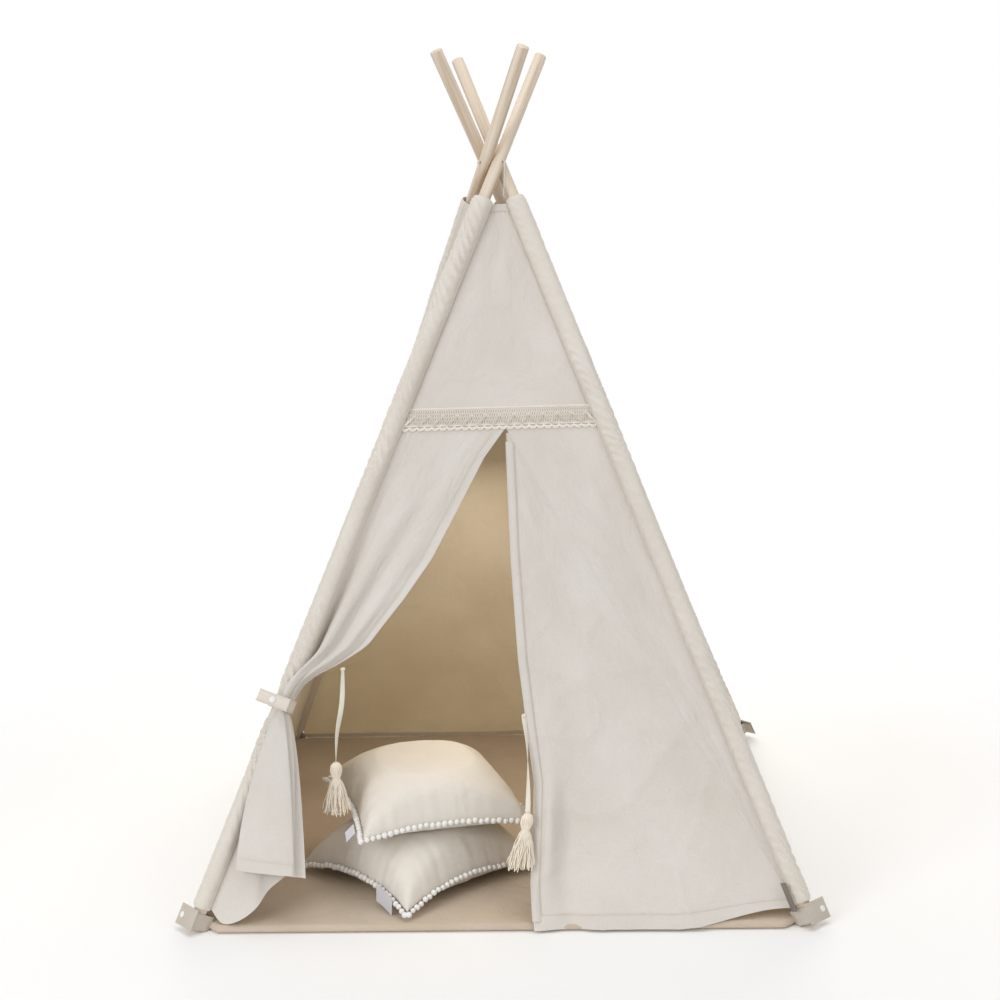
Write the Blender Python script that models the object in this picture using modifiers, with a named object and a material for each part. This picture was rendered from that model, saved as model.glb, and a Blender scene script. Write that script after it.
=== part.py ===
"""Kids teepee: four lashed poles in a cotton canvas cover with sewn pole sleeves,
a door slit under a lace band, a padded floor mat, corner straps and two cushions.

Metres, +Z up. The origin is on the floor under the middle of the mat, and -Y is the door side.
"""
import math
from collections import namedtuple

import bmesh
import bpy
from mathutils import Matrix, Vector

# Frame
FOOT_HALF = 0.580           # half the side of the square that the pole feet stand on
LASH_HEIGHT = 1.434         # height at which the poles cross
POLE_LENGTH = 1.899
POLE_RADIUS = 0.013
POLE_EDGE = 0.002           # rounding of the pole ends
CROSSING_GAP = 0.0006       # between neighbouring poles where they cross
HOLE_RADIUS = 0.0026        # drilled for the lashing cord
CLEAR = 0.0003              # between pieces that touch
OVERRUN = 0.004             # how far a cutter runs past what it cuts
WELD = 0.00001              # points this close are one point

# Lashing cord: distance from the middle, plan angle and height over the crossing
LASHING_RADIUS = 0.00125
LASHING_ROUTE = (
    (0.0400, 223.6, -0.0008), (0.0370, 223.6, -0.0008), (0.0340, 223.6, -0.0008),
    (0.0070, 223.6, -0.0008), (0.0000, 43.6, -0.0017), (0.0070, 43.6, -0.0008),
    (0.0350, 43.6, -0.0008), (0.0415, 47.0, 0.0000), (0.0440, 64.0, 0.0005),
    (0.0430, 88.6, 0.0006), (0.0440, 113.0, 0.0005), (0.0415, 130.0, 0.0006),
    (0.0350, 133.6, 0.0008), (0.0070, 133.6, 0.0008), (0.0000, 313.6, 0.0017),
    (0.0070, 313.6, 0.0008), (0.0350, 313.6, 0.0008), (0.0395, 312.8, -0.0012),
    (0.0415, 310.0, -0.0120), (0.0410, 308.0, -0.0400), (0.0400, 306.0, -0.0720),
)
LASHING_KNOT = 2.1          # how much thicker the stopper knot is than the cord
LASHING_STEP = 0.0034       # between points of the tube

# Canvas cover
CLOTH = 0.0016              # thickness of the canvas
COVER_TOP = 1.346
HEM_HEIGHT = 0.022          # the lower edge of the side and back walls
HEM_DIP_SHARE = 0.12        # share of a wall over which its hem drops from the sleeve
BILLOW = 0.010              # how far the walls belly outward
SLEEVE_BOTTOM = 0.048
SLEEVE_TOP_RADIUS = 0.0205
SLEEVE_FOOT_RADIUS = 0.0158
SLEEVE_RISE = 0.010         # the sleeves stand this much over the walls
PUCKER = 0.0032             # depth of the gathers on the sleeves
PUCKERS = 9

# Door
SLIT_TOP = 0.898            # height of the seam that the two flaps hang from
LACE_DEPTH = 0.043
LACE_THICK = 0.0012
LACE_LIFT = 0.0010          # from the middle of the canvas to the back of the lace
LACE_SCALLOPS = 26
LACE_HOLE = 0.0042          # half diagonal of an eyelet
LACE_EYELET_RISE = 1.7      # how many eyelet halves the lower eyelets stand over the scallops
SLIT_TOP_X = 0.020          # the slit starts a little right of the middle
SLIT_BOTTOM_X = 0.062       # where the right flap's free edge meets the hem
SLIT_HALF_GAP = 0.0020
EDGE_POWER = 1.2            # how late the free edge swings out
EDGE_BOW = 0.010            # how far that edge bows toward the fold on its way down
FLAP_HEM = 0.018            # the right flap's hem, just over the mat
FLAP_TOP_SHARE = 0.010      # the flap starts this share below the top of its fold
FLAP_END_SHARE = 0.995
FIXED_START_SHARE = 0.02    # the fixed part starts this share above the fold's lower end
MIDDLE_SHARE = 0.5
HINGE_GAP = 0.00045         # half the gap along the right flap's diagonal fold
CRESCENT = 0.016            # the soft fold beside the right flap's free edge
CRESCENT_START_SHARE = 0.05
CRESCENT_WIDE_SHARE = 0.26
COLUMN_POWER = 1.5          # crowds the right flap's columns toward its free edge
TIE_HEIGHT = 0.396          # where the left flap is tied back to its pole
TAIL_HEIGHT = 0.098         # on the pole, level with the gathered flap's free corner
TAIL_SPREAD = 0.140
TAIL_RISE_RATE = 1.5        # how soon the tail's hem leaves the foot, across the cloth
TURN_IN_SHARE = 0.08        # share of the flap that leads from the seam to the bundle
ROW_POWER = 2               # crowds the left flap's rows toward the tie
BUNDLE_HALF = 0.0165        # half the width of the gathered cloth at the tie
BUNDLE_DEPTH = 0.0240
BUNDLE_ROOM = 0.0060        # from the sleeve out to the first fold of the bundle
BUNDLE_WAVES = 3            # folds of cloth stacked in the bundle
TIE_ROW_SHARE = 0.60        # share of the left flap's rows that lie above the neck
NECK_ROW_SHARE = 0.70       # share of the rows down to the lower end of the neck
NECK_MARGIN = 0.006         # how far the narrow neck runs past the tie strap
OPENING_POWER = 0.68        # how soon the left flap closes up toward the tie
FLAP_CLOTH = 0.0012

# Straps and snaps
STRAP_THICK = 0.0016
TIE_WIDTH = 0.025
TIE_OVERHANG = 0.036        # free end of the tie strap past its snap
SNAP_RADIUS = 0.006
SNAP_HEIGHT = 0.0026
STUD_RADIUS = 0.0048
SNAP_SPACE = 0.0030         # between a leaf and the tongue under it
CORNER_WIDTH = 0.040
CORNER_LOW = 0.004          # lower edge of a corner strap, along its pole
CORNER_SIDE_GAP = 0.0006    # between a pole and the strap beside it
CORNER_REACH = 0.0120       # from the pole's middle out to the tongue
CORNER_FREE_END = 0.038
CORNER_FOLD = 0.0170

# Ribbons and tassels
RIBBON_WIDTH = 0.010
RIBBON_THICK = 0.0012
RIBBON_LIFT = 0.0012   # extra room where the cloth curls under a ribbon
LEFT_RIBBON_SHARE = 0.415   # share of the left flap's rows down to its ribbon
LEFT_DROP = 0.185           # from the ribbon's top down to the tassel
LEFT_SWAY = 0.020           # the tassel hangs this much to the left
RIGHT_RIBBON_TOP = 0.372
RIGHT_TASSEL_TOP = 0.200
RIGHT_TASSEL_X = 0.052
TASSEL_LENGTH = 0.102
TASSEL_HEAD = 0.012
TASSEL_NECK = 0.0075
TASSEL_SKIRT = 0.019
TASSEL_SHOULDER_SHARE = 0.6
TASSEL_HEAD_SHARES = (0.2, 0.9, 1.5, 1.9)       # heights of the head's rings, in head radii
TASSEL_WAIST_SHARE = 0.85
TASSEL_SKIRT_SHARES = ((0.75, 0.35), (0.9, 0.65))
SNAP_PROFILE_SHARES = ((0, 1), (0.5, 0.92), (0.86, 0.62), (1, 0.25), (1, 0), (0, 0))

# Floor mat
MAT_REACH = 0.010           # from the line between two feet out to the mat's edge
MAT_HALF = FOOT_HALF + MAT_REACH
MAT_THICK = 0.015
MAT_CORNER = 0.0290         # from a pole's middle in to the cut corner of the mat

# Cushions
CUSHION_HALF = 0.171
CUSHION_DRAW = 0.016        # how far the middle of each side is drawn in
LOWER_PLACE = (-0.170, -0.325)
LOWER_TURN = 44.0
LOWER_SEAM = 0.026
LOWER_SEAM_RISE = 0.028
LOWER_TOP = 0.136
UPPER_PLACE = (-0.155, -0.300)
UPPER_TURN = 19.5
UPPER_SEAM = 0.152
UPPER_SEAM_RISE = 0.012
UPPER_TOP = 0.254
CROWN_POWER = 0.45          # how full the cushions are toward their seams
CROWN_FLAT_RATE = 1.25      # how early the crown levels out
POMPOM_RADIUS = 0.0058
POMPOM_NECK = 0.0022
POMPOM_PITCH = 0.0125
TRIM_STEPS = 60             # points on each side of a cushion's trim

Pole = namedtuple("Pole", "foot crossing up lateral out")


def slant():
    """The poles' angle from upright."""
    return math.atan2(FOOT_HALF * math.sqrt(2), LASH_HEIGHT)


def crossing_offset():
    """How far each pole's middle passes from the centre line where they cross."""
    flat = math.cos(slant())
    return (POLE_RADIUS * 2 + CROSSING_GAP) * math.sqrt(1 + flat * flat) / (2 * flat)


def make_pole(side_x, side_y):
    """The axis of one pole. Each passes the centre line on its own side."""
    foot = Vector((side_x * FOOT_HALF, side_y * FOOT_HALF, 0))
    offset = crossing_offset()
    turn = math.asin(offset / foot.length)
    heading = Matrix.Rotation(-turn, 3, "Z") @ -foot.normalized()
    lateral = Matrix.Rotation(-math.pi / 2, 3, "Z") @ heading
    crossing = lateral * offset + Vector((0, 0, LASH_HEIGHT))
    up = (crossing - foot).normalized()
    out = lateral.cross(up)
    return Pole(foot, crossing, up, lateral, out)


POLES = {
    "front_left": make_pole(-1, -1),
    "front_right": make_pole(1, -1),
    "back_right": make_pole(1, 1),
    "back_left": make_pole(-1, 1),
}


def at_height(pole, height):
    """The point of a pole's axis at a height."""
    return pole.foot + (pole.crossing - pole.foot) * (height / LASH_HEIGHT)


def start_scene():
    for item in list(bpy.data.objects):
        bpy.data.objects.remove(item)
    for name in ("kids_teepee", "cutters"):
        group = bpy.data.collections.new(name)
        bpy.context.scene.collection.children.link(group)


def add(item, group="kids_teepee"):
    """Move an object into one of the two collections."""
    for old in item.users_collection:
        old.objects.unlink(item)
    bpy.data.collections[group].objects.link(item)
    return item


def paint(item, colour, roughness):
    """Each piece has a Principled material of its own."""
    mat = bpy.data.materials.new(item.name)
    mat.use_nodes = True
    shader = mat.node_tree.nodes["Principled BSDF"]
    shader.inputs["Base Color"].default_value = (*colour, 1)
    shader.inputs["Roughness"].default_value = roughness
    shader.inputs["Metallic"].default_value = 0
    item.data.materials.clear()
    item.data.materials.append(mat)
    return item


WOOD = (0.62, 0.43, 0.26)
CANVAS = (0.78, 0.70, 0.58)
LACE = (0.86, 0.80, 0.70)
WHITE = (0.88, 0.87, 0.85)
PLASTIC = (0.90, 0.90, 0.89)


def smooth(item, angle=35):
    item.data.shade_smooth()
    item.data.set_sharp_from_angle(angle=math.radians(angle))
    return item


def from_bmesh(name, bm, colour, roughness):
    bmesh.ops.recalc_face_normals(bm, faces=bm.faces)
    mesh = bpy.data.meshes.new(name)
    bm.to_mesh(mesh)
    bm.free()
    item = add(bpy.data.objects.new(name, mesh))
    smooth(item)
    return paint(item, colour, roughness)


def to_mesh(item):
    """A curve object made into a mesh object with welded caps."""
    graph = bpy.context.evaluated_depsgraph_get()
    mesh = bpy.data.meshes.new_from_object(item.evaluated_get(graph))
    bm = bmesh.new()
    bm.from_mesh(mesh)
    bmesh.ops.remove_doubles(bm, verts=bm.verts, dist=WELD)
    bm.to_mesh(mesh)
    bm.free()
    name = item.name
    solid = bpy.data.objects.new(name, mesh)
    solid.matrix_world = item.matrix_world.copy()
    bpy.data.objects.remove(item)
    solid.name = name
    return add(solid)


def axes(origin, x_axis, y_axis, z_axis):
    """A placement from an origin and three unit axes."""
    rows = Matrix((x_axis, y_axis, z_axis)).transposed().to_4x4()
    return Matrix.Translation(origin) @ rows


def flat_outline(name, loops, thickness, placement):
    """Closed outlines in the local XY plane, extruded evenly about it."""
    data = bpy.data.curves.new(name, "CURVE")
    data.dimensions = "2D"
    data.fill_mode = "BOTH"
    data.extrude = thickness / 2
    for loop in loops:
        spline = data.splines.new("POLY")
        spline.points.add(len(loop) - 1)
        for point, place in zip(spline.points, loop):
            point.co = (place[0], place[1], 0, 1)
        spline.use_cyclic_u = True
    item = add(bpy.data.objects.new(name, data))
    item.matrix_world = placement
    bpy.context.view_layer.update()
    return item


def strip_loop(path, thickness):
    """The outline of a strap of even thickness that follows a flat path."""
    points = [Vector(place) for place in path]
    left = []
    right = []
    for index, here in enumerate(points):
        before = points[max(index - 1, 0)]
        after = points[min(index + 1, len(points) - 1)]
        into = (here - before).normalized() if index else (after - here).normalized()
        onward = (after - here).normalized() if index < len(points) - 1 else into
        bisector = (into + onward).normalized()
        normal = Vector((-bisector.y, bisector.x))
        reach = thickness / 2 / max(normal.dot(Vector((-into.y, into.x))), 0.5)
        left.append(here + normal * reach)
        right.append(here - normal * reach)
    return left + right[::-1]


def strap(name, path, thickness, width, placement, colour, roughness=0.85):
    """A strap whose edge follows a path in the local XY plane, as wide as local Z."""
    item = flat_outline(name, [strip_loop(path, thickness)], width, placement)
    item = to_mesh(item)
    smooth(item)
    return paint(item, colour, roughness)


def rounded(path, radius, steps=3):
    """A flat path with its inner corners turned as arcs."""
    points = [Vector(place) for place in path]
    result = [points[0]]
    for before, here, after in zip(points, points[1:], points[2:]):
        into = (before - here).normalized()
        onward = (after - here).normalized()
        half = into.angle(onward) / 2
        reach = radius / math.tan(half)
        start = here + into * reach
        centre = here + (into + onward).normalized() * (radius / math.sin(half))
        spoke = start - centre
        end_spoke = here + onward * reach - centre
        sweep = spoke.angle_signed(end_spoke)
        for step in range(steps + 1):
            turn = Matrix.Rotation(-sweep * step / steps, 2)
            result.append(centre + turn @ spoke)
    result.append(points[-1])
    return result


def smooth_route(points, step):
    """Points at even steps along a smooth curve through a route."""
    ends = [points[0] * 2 - points[1]] + list(points) + [points[-1] * 2 - points[-2]]
    result = []
    for index in range(1, len(ends) - 2):
        before, here, there, after = ends[index - 1:index + 3]
        count = max(1, round((there - here).length / step))
        for part in range(count):
            t = part / count
            bend = (before * -1 + here * 3 - there * 3 + after) * t ** 3
            bend += (before * 2 - here * 5 + there * 4 - after) * t ** 2
            result.append((bend + (there - before) * t + here * 2) / 2)
    result.append(points[-1])
    return result


def tube(name, points, radius, shares, sides, closed, colour, roughness):
    """A round tube through points, each with its share of the radius."""
    data = bpy.data.curves.new(name, "CURVE")
    data.dimensions = "3D"
    data.bevel_depth = radius
    data.bevel_resolution = sides
    data.use_fill_caps = not closed
    spline = data.splines.new("POLY")
    spline.points.add(len(points) - 1)
    for point, place, share in zip(spline.points, points, shares):
        point.co = (*place, 1)
        point.radius = share
    spline.use_cyclic_u = closed
    item = add(bpy.data.objects.new(name, data))
    return paint(item, colour, roughness)


def turned(name, profile, placement, steps, colour, roughness):
    """A solid of revolution about local Z from (radius, height) pairs, top to bottom."""
    bm = bmesh.new()
    verts = [bm.verts.new((radius, 0, height)) for radius, height in profile]
    for first, second in zip(verts, verts[1:]):
        bm.edges.new((first, second))
    mesh = bpy.data.meshes.new(name)
    bm.to_mesh(mesh)
    bm.free()
    item = add(bpy.data.objects.new(name, mesh))
    screw = item.modifiers.new("turn", "SCREW")
    screw.steps = steps
    screw.render_steps = steps
    screw.use_merge_vertices = True
    screw.merge_threshold = WELD
    screw.use_smooth_shade = True
    item.matrix_world = placement
    return paint(item, colour, roughness)


def sheet(name, columns, rows, surface, thickness, colour=CANVAS, roughness=0.9):
    """A cloth panel: a grid laid on a surface function of two shares, made solid."""
    bm = bmesh.new()
    bmesh.ops.create_grid(bm, x_segments=columns, y_segments=rows, size=0.5)
    for vert in bm.verts:
        vert.co = surface(vert.co.x + 0.5, vert.co.y + 0.5)
    mesh = bpy.data.meshes.new(name)
    bm.to_mesh(mesh)
    bm.free()
    item = add(bpy.data.objects.new(name, mesh))
    solid = item.modifiers.new("cloth", "SOLIDIFY")
    solid.thickness = thickness
    solid.offset = 0
    item.data.shade_smooth()
    return paint(item, colour, roughness)


def sleeve_radius(height):
    share = min(max(height / COVER_TOP, 0), 1)
    return SLEEVE_FOOT_RADIUS + (SLEEVE_TOP_RADIUS - SLEEVE_FOOT_RADIUS) * share


def wall_frame(first, second, height):
    """Two seam points at a height, the way between them and the wall's outward normal."""
    a = at_height(first, height)
    b = at_height(second, height)
    across = (b - a).normalized()
    normal = first.up.cross(across).normalized()
    if normal.dot(Vector((a.x, a.y, 0))) < 0:
        normal = -normal
    reach = sleeve_radius(height) + CLEAR
    start = a + across * (reach / math.sqrt(1 - across.dot(first.up) ** 2))
    end = b - across * (reach / math.sqrt(1 - across.dot(second.up) ** 2))
    return start, end, across, normal


def wall_point(first, second, share, height, belly=0.0):
    """A point of a wall between two poles."""
    start, end, across, normal = wall_frame(first, second, height)
    return start.lerp(end, share) + normal * belly


def wall_belly(share, height, low, high):
    """The walls belly outward between their seams, hem and top."""
    level = (height - low) / (high - low)
    return BILLOW * math.sin(math.pi * share) * math.sin(math.pi * level)


def drilled_pole(name, pole):
    low = POLE_RADIUS * math.tan(slant())
    middle = pole.foot + pole.up * (low + POLE_LENGTH / 2)
    bpy.ops.mesh.primitive_cylinder_add(vertices=16, radius=POLE_RADIUS, depth=POLE_LENGTH)
    item = add(bpy.context.object)
    item.name = name
    item.matrix_world = axes(middle, pole.out, pole.up.cross(pole.out), pole.up)
    edge = item.modifiers.new("ends", "BEVEL")
    edge.width = POLE_EDGE
    edge.segments = 2
    edge.limit_method = "ANGLE"
    edge.angle_limit = math.radians(40)
    length = POLE_RADIUS * 2 + OVERRUN * 2
    bpy.ops.mesh.primitive_cylinder_add(vertices=12, radius=HOLE_RADIUS, depth=length)
    cutter = add(bpy.context.object, "cutters")
    cutter.name = name + "_hole"
    cutter.matrix_world = axes(
        pole.crossing, pole.up, pole.lateral.cross(pole.up), pole.lateral
    )
    cutter.hide_render = True
    cutter.display_type = "WIRE"
    hole = item.modifiers.new("cord hole", "BOOLEAN")
    hole.operation = "DIFFERENCE"
    hole.object = cutter
    smooth(item)
    return paint(item, WOOD, 0.55)


def sleeve(name, pole):
    """The cover's sewn pocket round a pole: a straight bore in a gathered outer skin."""
    sides = 14
    rings = 13
    bore_radius = (POLE_RADIUS + CLEAR) / math.cos(math.pi / sides)
    bottom = SLEEVE_BOTTOM / pole.up.z
    top = (COVER_TOP + SLEEVE_RISE) / pole.up.z
    bm = bmesh.new()

    def ring(distance, radius_at):
        centre = pole.foot + pole.up * distance
        verts = []
        for side in range(sides):
            angle = 2 * math.pi * side / sides
            spoke = pole.out * math.cos(angle) + pole.lateral * math.sin(angle)
            verts.append(bm.verts.new(centre + spoke * radius_at(angle)))
        return verts

    loops = []
    for index in range(rings):
        share = index / (rings - 1)
        distance = bottom + (top - bottom) * share
        base = sleeve_radius(distance * pole.up.z)
        wave = math.sin(share * math.pi * PUCKERS) * math.sin(share * math.pi)

        def gathered(angle, base=base, wave=wave):
            facing = max(math.cos(angle), 0)
            return base + PUCKER * facing * (1 + wave * math.cos(3 * angle)) / 2

        loops.append(ring(distance, gathered))
    loops.append(ring(top, lambda angle: bore_radius))
    loops.append(ring(bottom, lambda angle: bore_radius))
    for lower, upper in zip(loops, loops[1:] + loops[:1]):
        for side in range(sides):
            after = (side + 1) % sides
            bm.faces.new((lower[side], lower[after], upper[after], upper[side]))
    return from_bmesh(name, bm, CANVAS, 0.9)


def lashing():
    centre = Vector((0, 0, LASH_HEIGHT))
    route = []
    for distance, angle, rise in LASHING_ROUTE:
        turn = math.radians(angle)
        place = Vector((math.cos(turn) * distance, math.sin(turn) * distance, rise))
        route.append(centre + place)
    points = smooth_route(route, LASHING_STEP)
    knot_end = route[1]
    shares = []
    for point in points:
        near = 1 - min((point - knot_end).length / (route[1] - route[2]).length, 1)
        shares.append(1 + (LASHING_KNOT - 1) * near)
    return tube("lashing_cord", points, LASHING_RADIUS, shares, 1, False, WHITE, 0.8)


def side_wall(name, first, second):
    high = COVER_TOP

    def surface(across, up):
        near_pole = max(0, 1 - min(across, 1 - across) / HEM_DIP_SHARE)
        low = HEM_HEIGHT + (SLEEVE_BOTTOM - HEM_HEIGHT) * near_pole
        height = low + (high - low) * up
        return wall_point(first, second, across, height, wall_belly(across, height, low, high))

    return sheet(name, 8, 12, surface, CLOTH)


def front_upper_wall(first, second):
    low = SLIT_TOP + CLEAR / 2

    def surface(across, up):
        height = low + (COVER_TOP - low) * up
        return wall_point(first, second, across, height)

    return sheet("front_upper_wall", 8, 5, surface, CLOTH)


def lace_band(first, second):
    """A crochet band on the wall over the door, with eyelets and a scalloped lower edge."""
    start, end = wall_frame(first, second, SLIT_TOP)[:2]
    width = (end - start).length
    pitch = width / LACE_SCALLOPS
    scallop = pitch / 2
    outline = [(0, LACE_DEPTH), (0, scallop)]
    for index in range(LACE_SCALLOPS):
        middle = pitch * index + scallop
        for step in (1, 2, 3):
            angle = math.pi * step / 4
            aside = math.cos(angle) * scallop
            outline.append((middle - aside, scallop - math.sin(angle) * scallop))
        outline.append((middle + scallop, scallop))
    outline.append((width, LACE_DEPTH))
    loops = [outline]
    rows = (scallop + LACE_HOLE * LACE_EYELET_RISE, LACE_DEPTH - LACE_HOLE * 2)
    for row, level in enumerate(rows):
        for index in range(LACE_SCALLOPS - 1 + row):
            middle = pitch * (index + 1) - scallop * row
            loops.append([
                (middle - LACE_HOLE, level), (middle, level - LACE_HOLE),
                (middle + LACE_HOLE, level), (middle, level + LACE_HOLE),
            ])
    item = to_mesh(flat_outline("lace_band", loops, LACE_THICK, Matrix.Identity(4)))
    lift = LACE_LIFT + CLEAR + LACE_THICK / 2
    for vert in item.data.vertices:
        height = SLIT_TOP + vert.co.y
        share = vert.co.x / width
        vert.co = wall_point(first, second, share, height, lift + vert.co.z)
    smooth(item)
    return paint(item, LACE, 0.9)


def slit_share(first, second, height, place_x):
    """Where along the front wall a given x lies."""
    start, end = wall_frame(first, second, height)[:2]
    return (place_x - start.x) / (end.x - start.x)


def right_edge_x(height):
    """The right flap's free edge swings out to the right toward the hem."""
    share = 1 - height / SLIT_TOP
    swing = (SLIT_BOTTOM_X - SLIT_TOP_X) * share ** EDGE_POWER
    bow = EDGE_BOW * math.sin(math.pi * share * share)
    return SLIT_TOP_X + SLIT_HALF_GAP + swing + bow


def right_fold_line(first, second):
    """The flap's fold runs from the top of the slit to the right-hand pole's foot."""
    share = slit_share(first, second, SLIT_TOP, right_edge_x(SLIT_TOP))
    top = wall_point(first, second, share, SLIT_TOP)
    foot = wall_point(first, second, 1, SLEEVE_BOTTOM)
    return top, foot


def right_wall(first, second):
    """The part of the right front wall that stays put, above the fold."""
    top, foot = right_fold_line(first, second)
    high = SLIT_TOP - CLEAR / 2
    aside = (foot - top).normalized().cross(wall_frame(first, second, SLIT_TOP)[3])
    if aside.z < 0:
        aside = -aside

    def surface(across, up):
        height = foot.z + (high - foot.z) * (FIXED_START_SHARE + (1 - FIXED_START_SHARE) * up)
        seam = wall_point(first, second, 1, height)
        fold = foot.lerp(top, (height - foot.z) / (top.z - foot.z)) + aside * HINGE_GAP
        fold.z = height
        return fold.lerp(seam, across)

    return sheet("front_right_wall", 7, 8, surface, CLOTH)


def right_flap(first, second):
    """The right door flap, hanging closed, with a soft fold beside its free edge."""
    top, foot = right_fold_line(first, second)
    normal = wall_frame(first, second, SLIT_TOP / 2)[3]
    aside = (foot - top).normalized().cross(normal)
    if aside.z > 0:
        aside = -aside

    def surface(column, down):
        across = column ** COLUMN_POWER
        share = FLAP_TOP_SHARE + (FLAP_END_SHARE - FLAP_TOP_SHARE) * down
        fold = top.lerp(foot, share) + aside * HINGE_GAP
        height = top.z + (FLAP_HEM - top.z) * share
        place_x = right_edge_x(height)
        free = wall_point(first, second, slit_share(first, second, height, place_x), height)
        point = free.lerp(fold, across)
        beside = min(max((across - CRESCENT_START_SHARE) / CRESCENT_WIDE_SHARE, 0), 1)
        bulge = math.sin(math.pi * beside) * math.sin(math.pi * share) ** 2
        point += normal * (CRESCENT * bulge * share)
        limit = SLIT_TOP - CLEAR / 2
        point.z = min(point.z, limit)
        return point

    return sheet("door_flap_right", 13, 11, surface, CLOTH)


def gathered_point(first, second, across, down):
    """The left flap, drawn to the tie and fanned out again below it.

    across runs from the seam at the pole to the free edge, down from the top to the hem.
    """
    normal = wall_frame(first, second, TIE_HEIGHT)[3]
    level_way = wall_frame(first, second, TIE_HEIGHT)[2]
    square_way = (level_way - first.up * level_way.dot(first.up)).normalized()
    seam = sleeve_radius(TIE_HEIGHT) + CLEAR + FLAP_CLOTH
    along = max(0.0, (across - TURN_IN_SHARE) / (1 - TURN_IN_SHARE))
    wave = math.cos(2 * math.pi * BUNDLE_WAVES * along)
    led = min(1.0, across / TURN_IN_SHARE)
    stack_x = BUNDLE_HALF * wave + (seam - BUNDLE_HALF) * (1 - led)
    rise = led * (seam + BUNDLE_ROOM)
    stack_y = rise + BUNDLE_DEPTH * along
    neck = (TIE_WIDTH / 2 + NECK_MARGIN) * first.up.z
    if down <= TIE_ROW_SHARE:
        level = (1 - down / TIE_ROW_SHARE) ** ROW_POWER
        neck_top = TIE_HEIGHT + neck
        height = neck_top + (SLIT_TOP - CLEAR / 2 - neck_top) * level
        opened = level ** OPENING_POWER
        start, end = wall_frame(first, second, height)[:2]
        share = slit_share(first, second, height, SLIT_TOP_X - SLIT_HALF_GAP) * across
        flat = start.lerp(end, share)
        base = at_height(first, height)
        bundle = base + square_way * stack_x + normal * stack_y
        return bundle.lerp(flat, opened)
    level = max(0.0, (down - NECK_ROW_SHARE) / (1 - NECK_ROW_SHARE))
    along_neck = min(1.0, (down - TIE_ROW_SHARE) / (NECK_ROW_SHARE - TIE_ROW_SHARE))
    bottom = SLEEVE_BOTTOM + (TAIL_HEIGHT - SLEEVE_BOTTOM) * min(1.0, across * TAIL_RISE_RATE)
    neck_height = TIE_HEIGHT + neck * (1 - 2 * along_neck)
    height = neck_height + (bottom - neck_height) * level
    base = at_height(first, height)
    seam_shift = (sleeve_radius(height) + CLEAR + FLAP_CLOTH - seam) * (1 - along)
    spread = stack_x + seam_shift + TAIL_SPREAD * level * along
    return base + square_way * spread + normal * stack_y


def left_flap(first, second):
    def surface(across, down):
        return gathered_point(first, second, across, down)

    return sheet("door_flap_left", 26, 20, surface, FLAP_CLOTH)


def snap_profile(radius, height):
    """A domed snap cap from its top down to its flat back."""
    return [(radius * out, height * up) for out, up in SNAP_PROFILE_SHARES]


def snap_pair(name, centre, out_way, along_way, leaf_inner):
    """The cap on a leaf's outer face and the stud on the tongue below the leaf."""
    third = out_way.cross(along_way)
    cap_base = centre + out_way * (leaf_inner + STRAP_THICK + CLEAR)
    cap = turned(
        name + "_snap_cap", snap_profile(SNAP_RADIUS, SNAP_HEIGHT),
        axes(cap_base, along_way, third, out_way), 16, PLASTIC, 0.35,
    )
    stud_base = centre + out_way * (leaf_inner - SNAP_SPACE + CLEAR)
    stud = turned(
        name + "_snap_stud", snap_profile(STUD_RADIUS, SNAP_SPACE - CLEAR * 2),
        axes(stud_base, along_way, third, out_way), 12, PLASTIC, 0.35,
    )
    return cap, stud


def tie_frame(first, second):
    """Local axes at the tie: across the wall and square to the pole, outward, up the pole."""
    across, normal = wall_frame(first, second, TIE_HEIGHT)[2:]
    way = (across - first.up * across.dot(first.up)).normalized()
    return at_height(first, TIE_HEIGHT), way, normal


def tie_reaches():
    """How far the tie strap's far side, tongue and leaf stand from the pole's middle."""
    side = BUNDLE_HALF + FLAP_CLOTH * 2 + STRAP_THICK * 2
    stack_front = sleeve_radius(TIE_HEIGHT) + BUNDLE_ROOM + BUNDLE_DEPTH + FLAP_CLOTH * 3
    tongue = stack_front + STRAP_THICK
    leaf_inner = tongue + STRAP_THICK / 2 + SNAP_SPACE
    return side, tongue, leaf_inner


def tie_back(first, second):
    """The strap round the gathered flap: sewn at the seam, snapped to a tab on the sleeve."""
    origin, way, normal = tie_frame(first, second)
    placement = axes(origin, way, normal, way.cross(normal))
    sleeve_reach = sleeve_radius(TIE_HEIGHT) + CLEAR + STRAP_THICK / 2
    side, tongue, leaf_inner = tie_reaches()
    left = -sleeve_reach - CLEAR
    leaf_middle = leaf_inner + STRAP_THICK / 2
    snap_x = left + (SNAP_RADIUS + CLEAR) + STRAP_THICK
    sewn_end = (STRAP_THICK * 4, -sleeve_reach - STRAP_THICK)
    band_path = rounded(
        [sewn_end, (side, -sleeve_reach), (side, leaf_middle - STRAP_THICK)], STRAP_THICK
    )
    strap("tieback_band", band_path, STRAP_THICK, TIE_WIDTH, placement, CANVAS)
    tab_path = rounded([(left, 0), (left, tongue), (snap_x + STUD_RADIUS, tongue)], STRAP_THICK)
    strap("tieback_tab", tab_path, STRAP_THICK, TIE_WIDTH, placement, CANVAS)
    leaf_path = [(side, leaf_middle), (snap_x - TIE_OVERHANG, leaf_middle)]
    strap("tieback_leaf", leaf_path, STRAP_THICK, TIE_WIDTH, placement, CANVAS)
    snap_pair("tieback", origin + way * snap_x, normal, way, leaf_inner)
    pivot("tieback_pivot", origin + way * side + normal * leaf_middle)
    carry("tieback_pivot", "tieback_leaf", "tieback_snap_cap")


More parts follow.
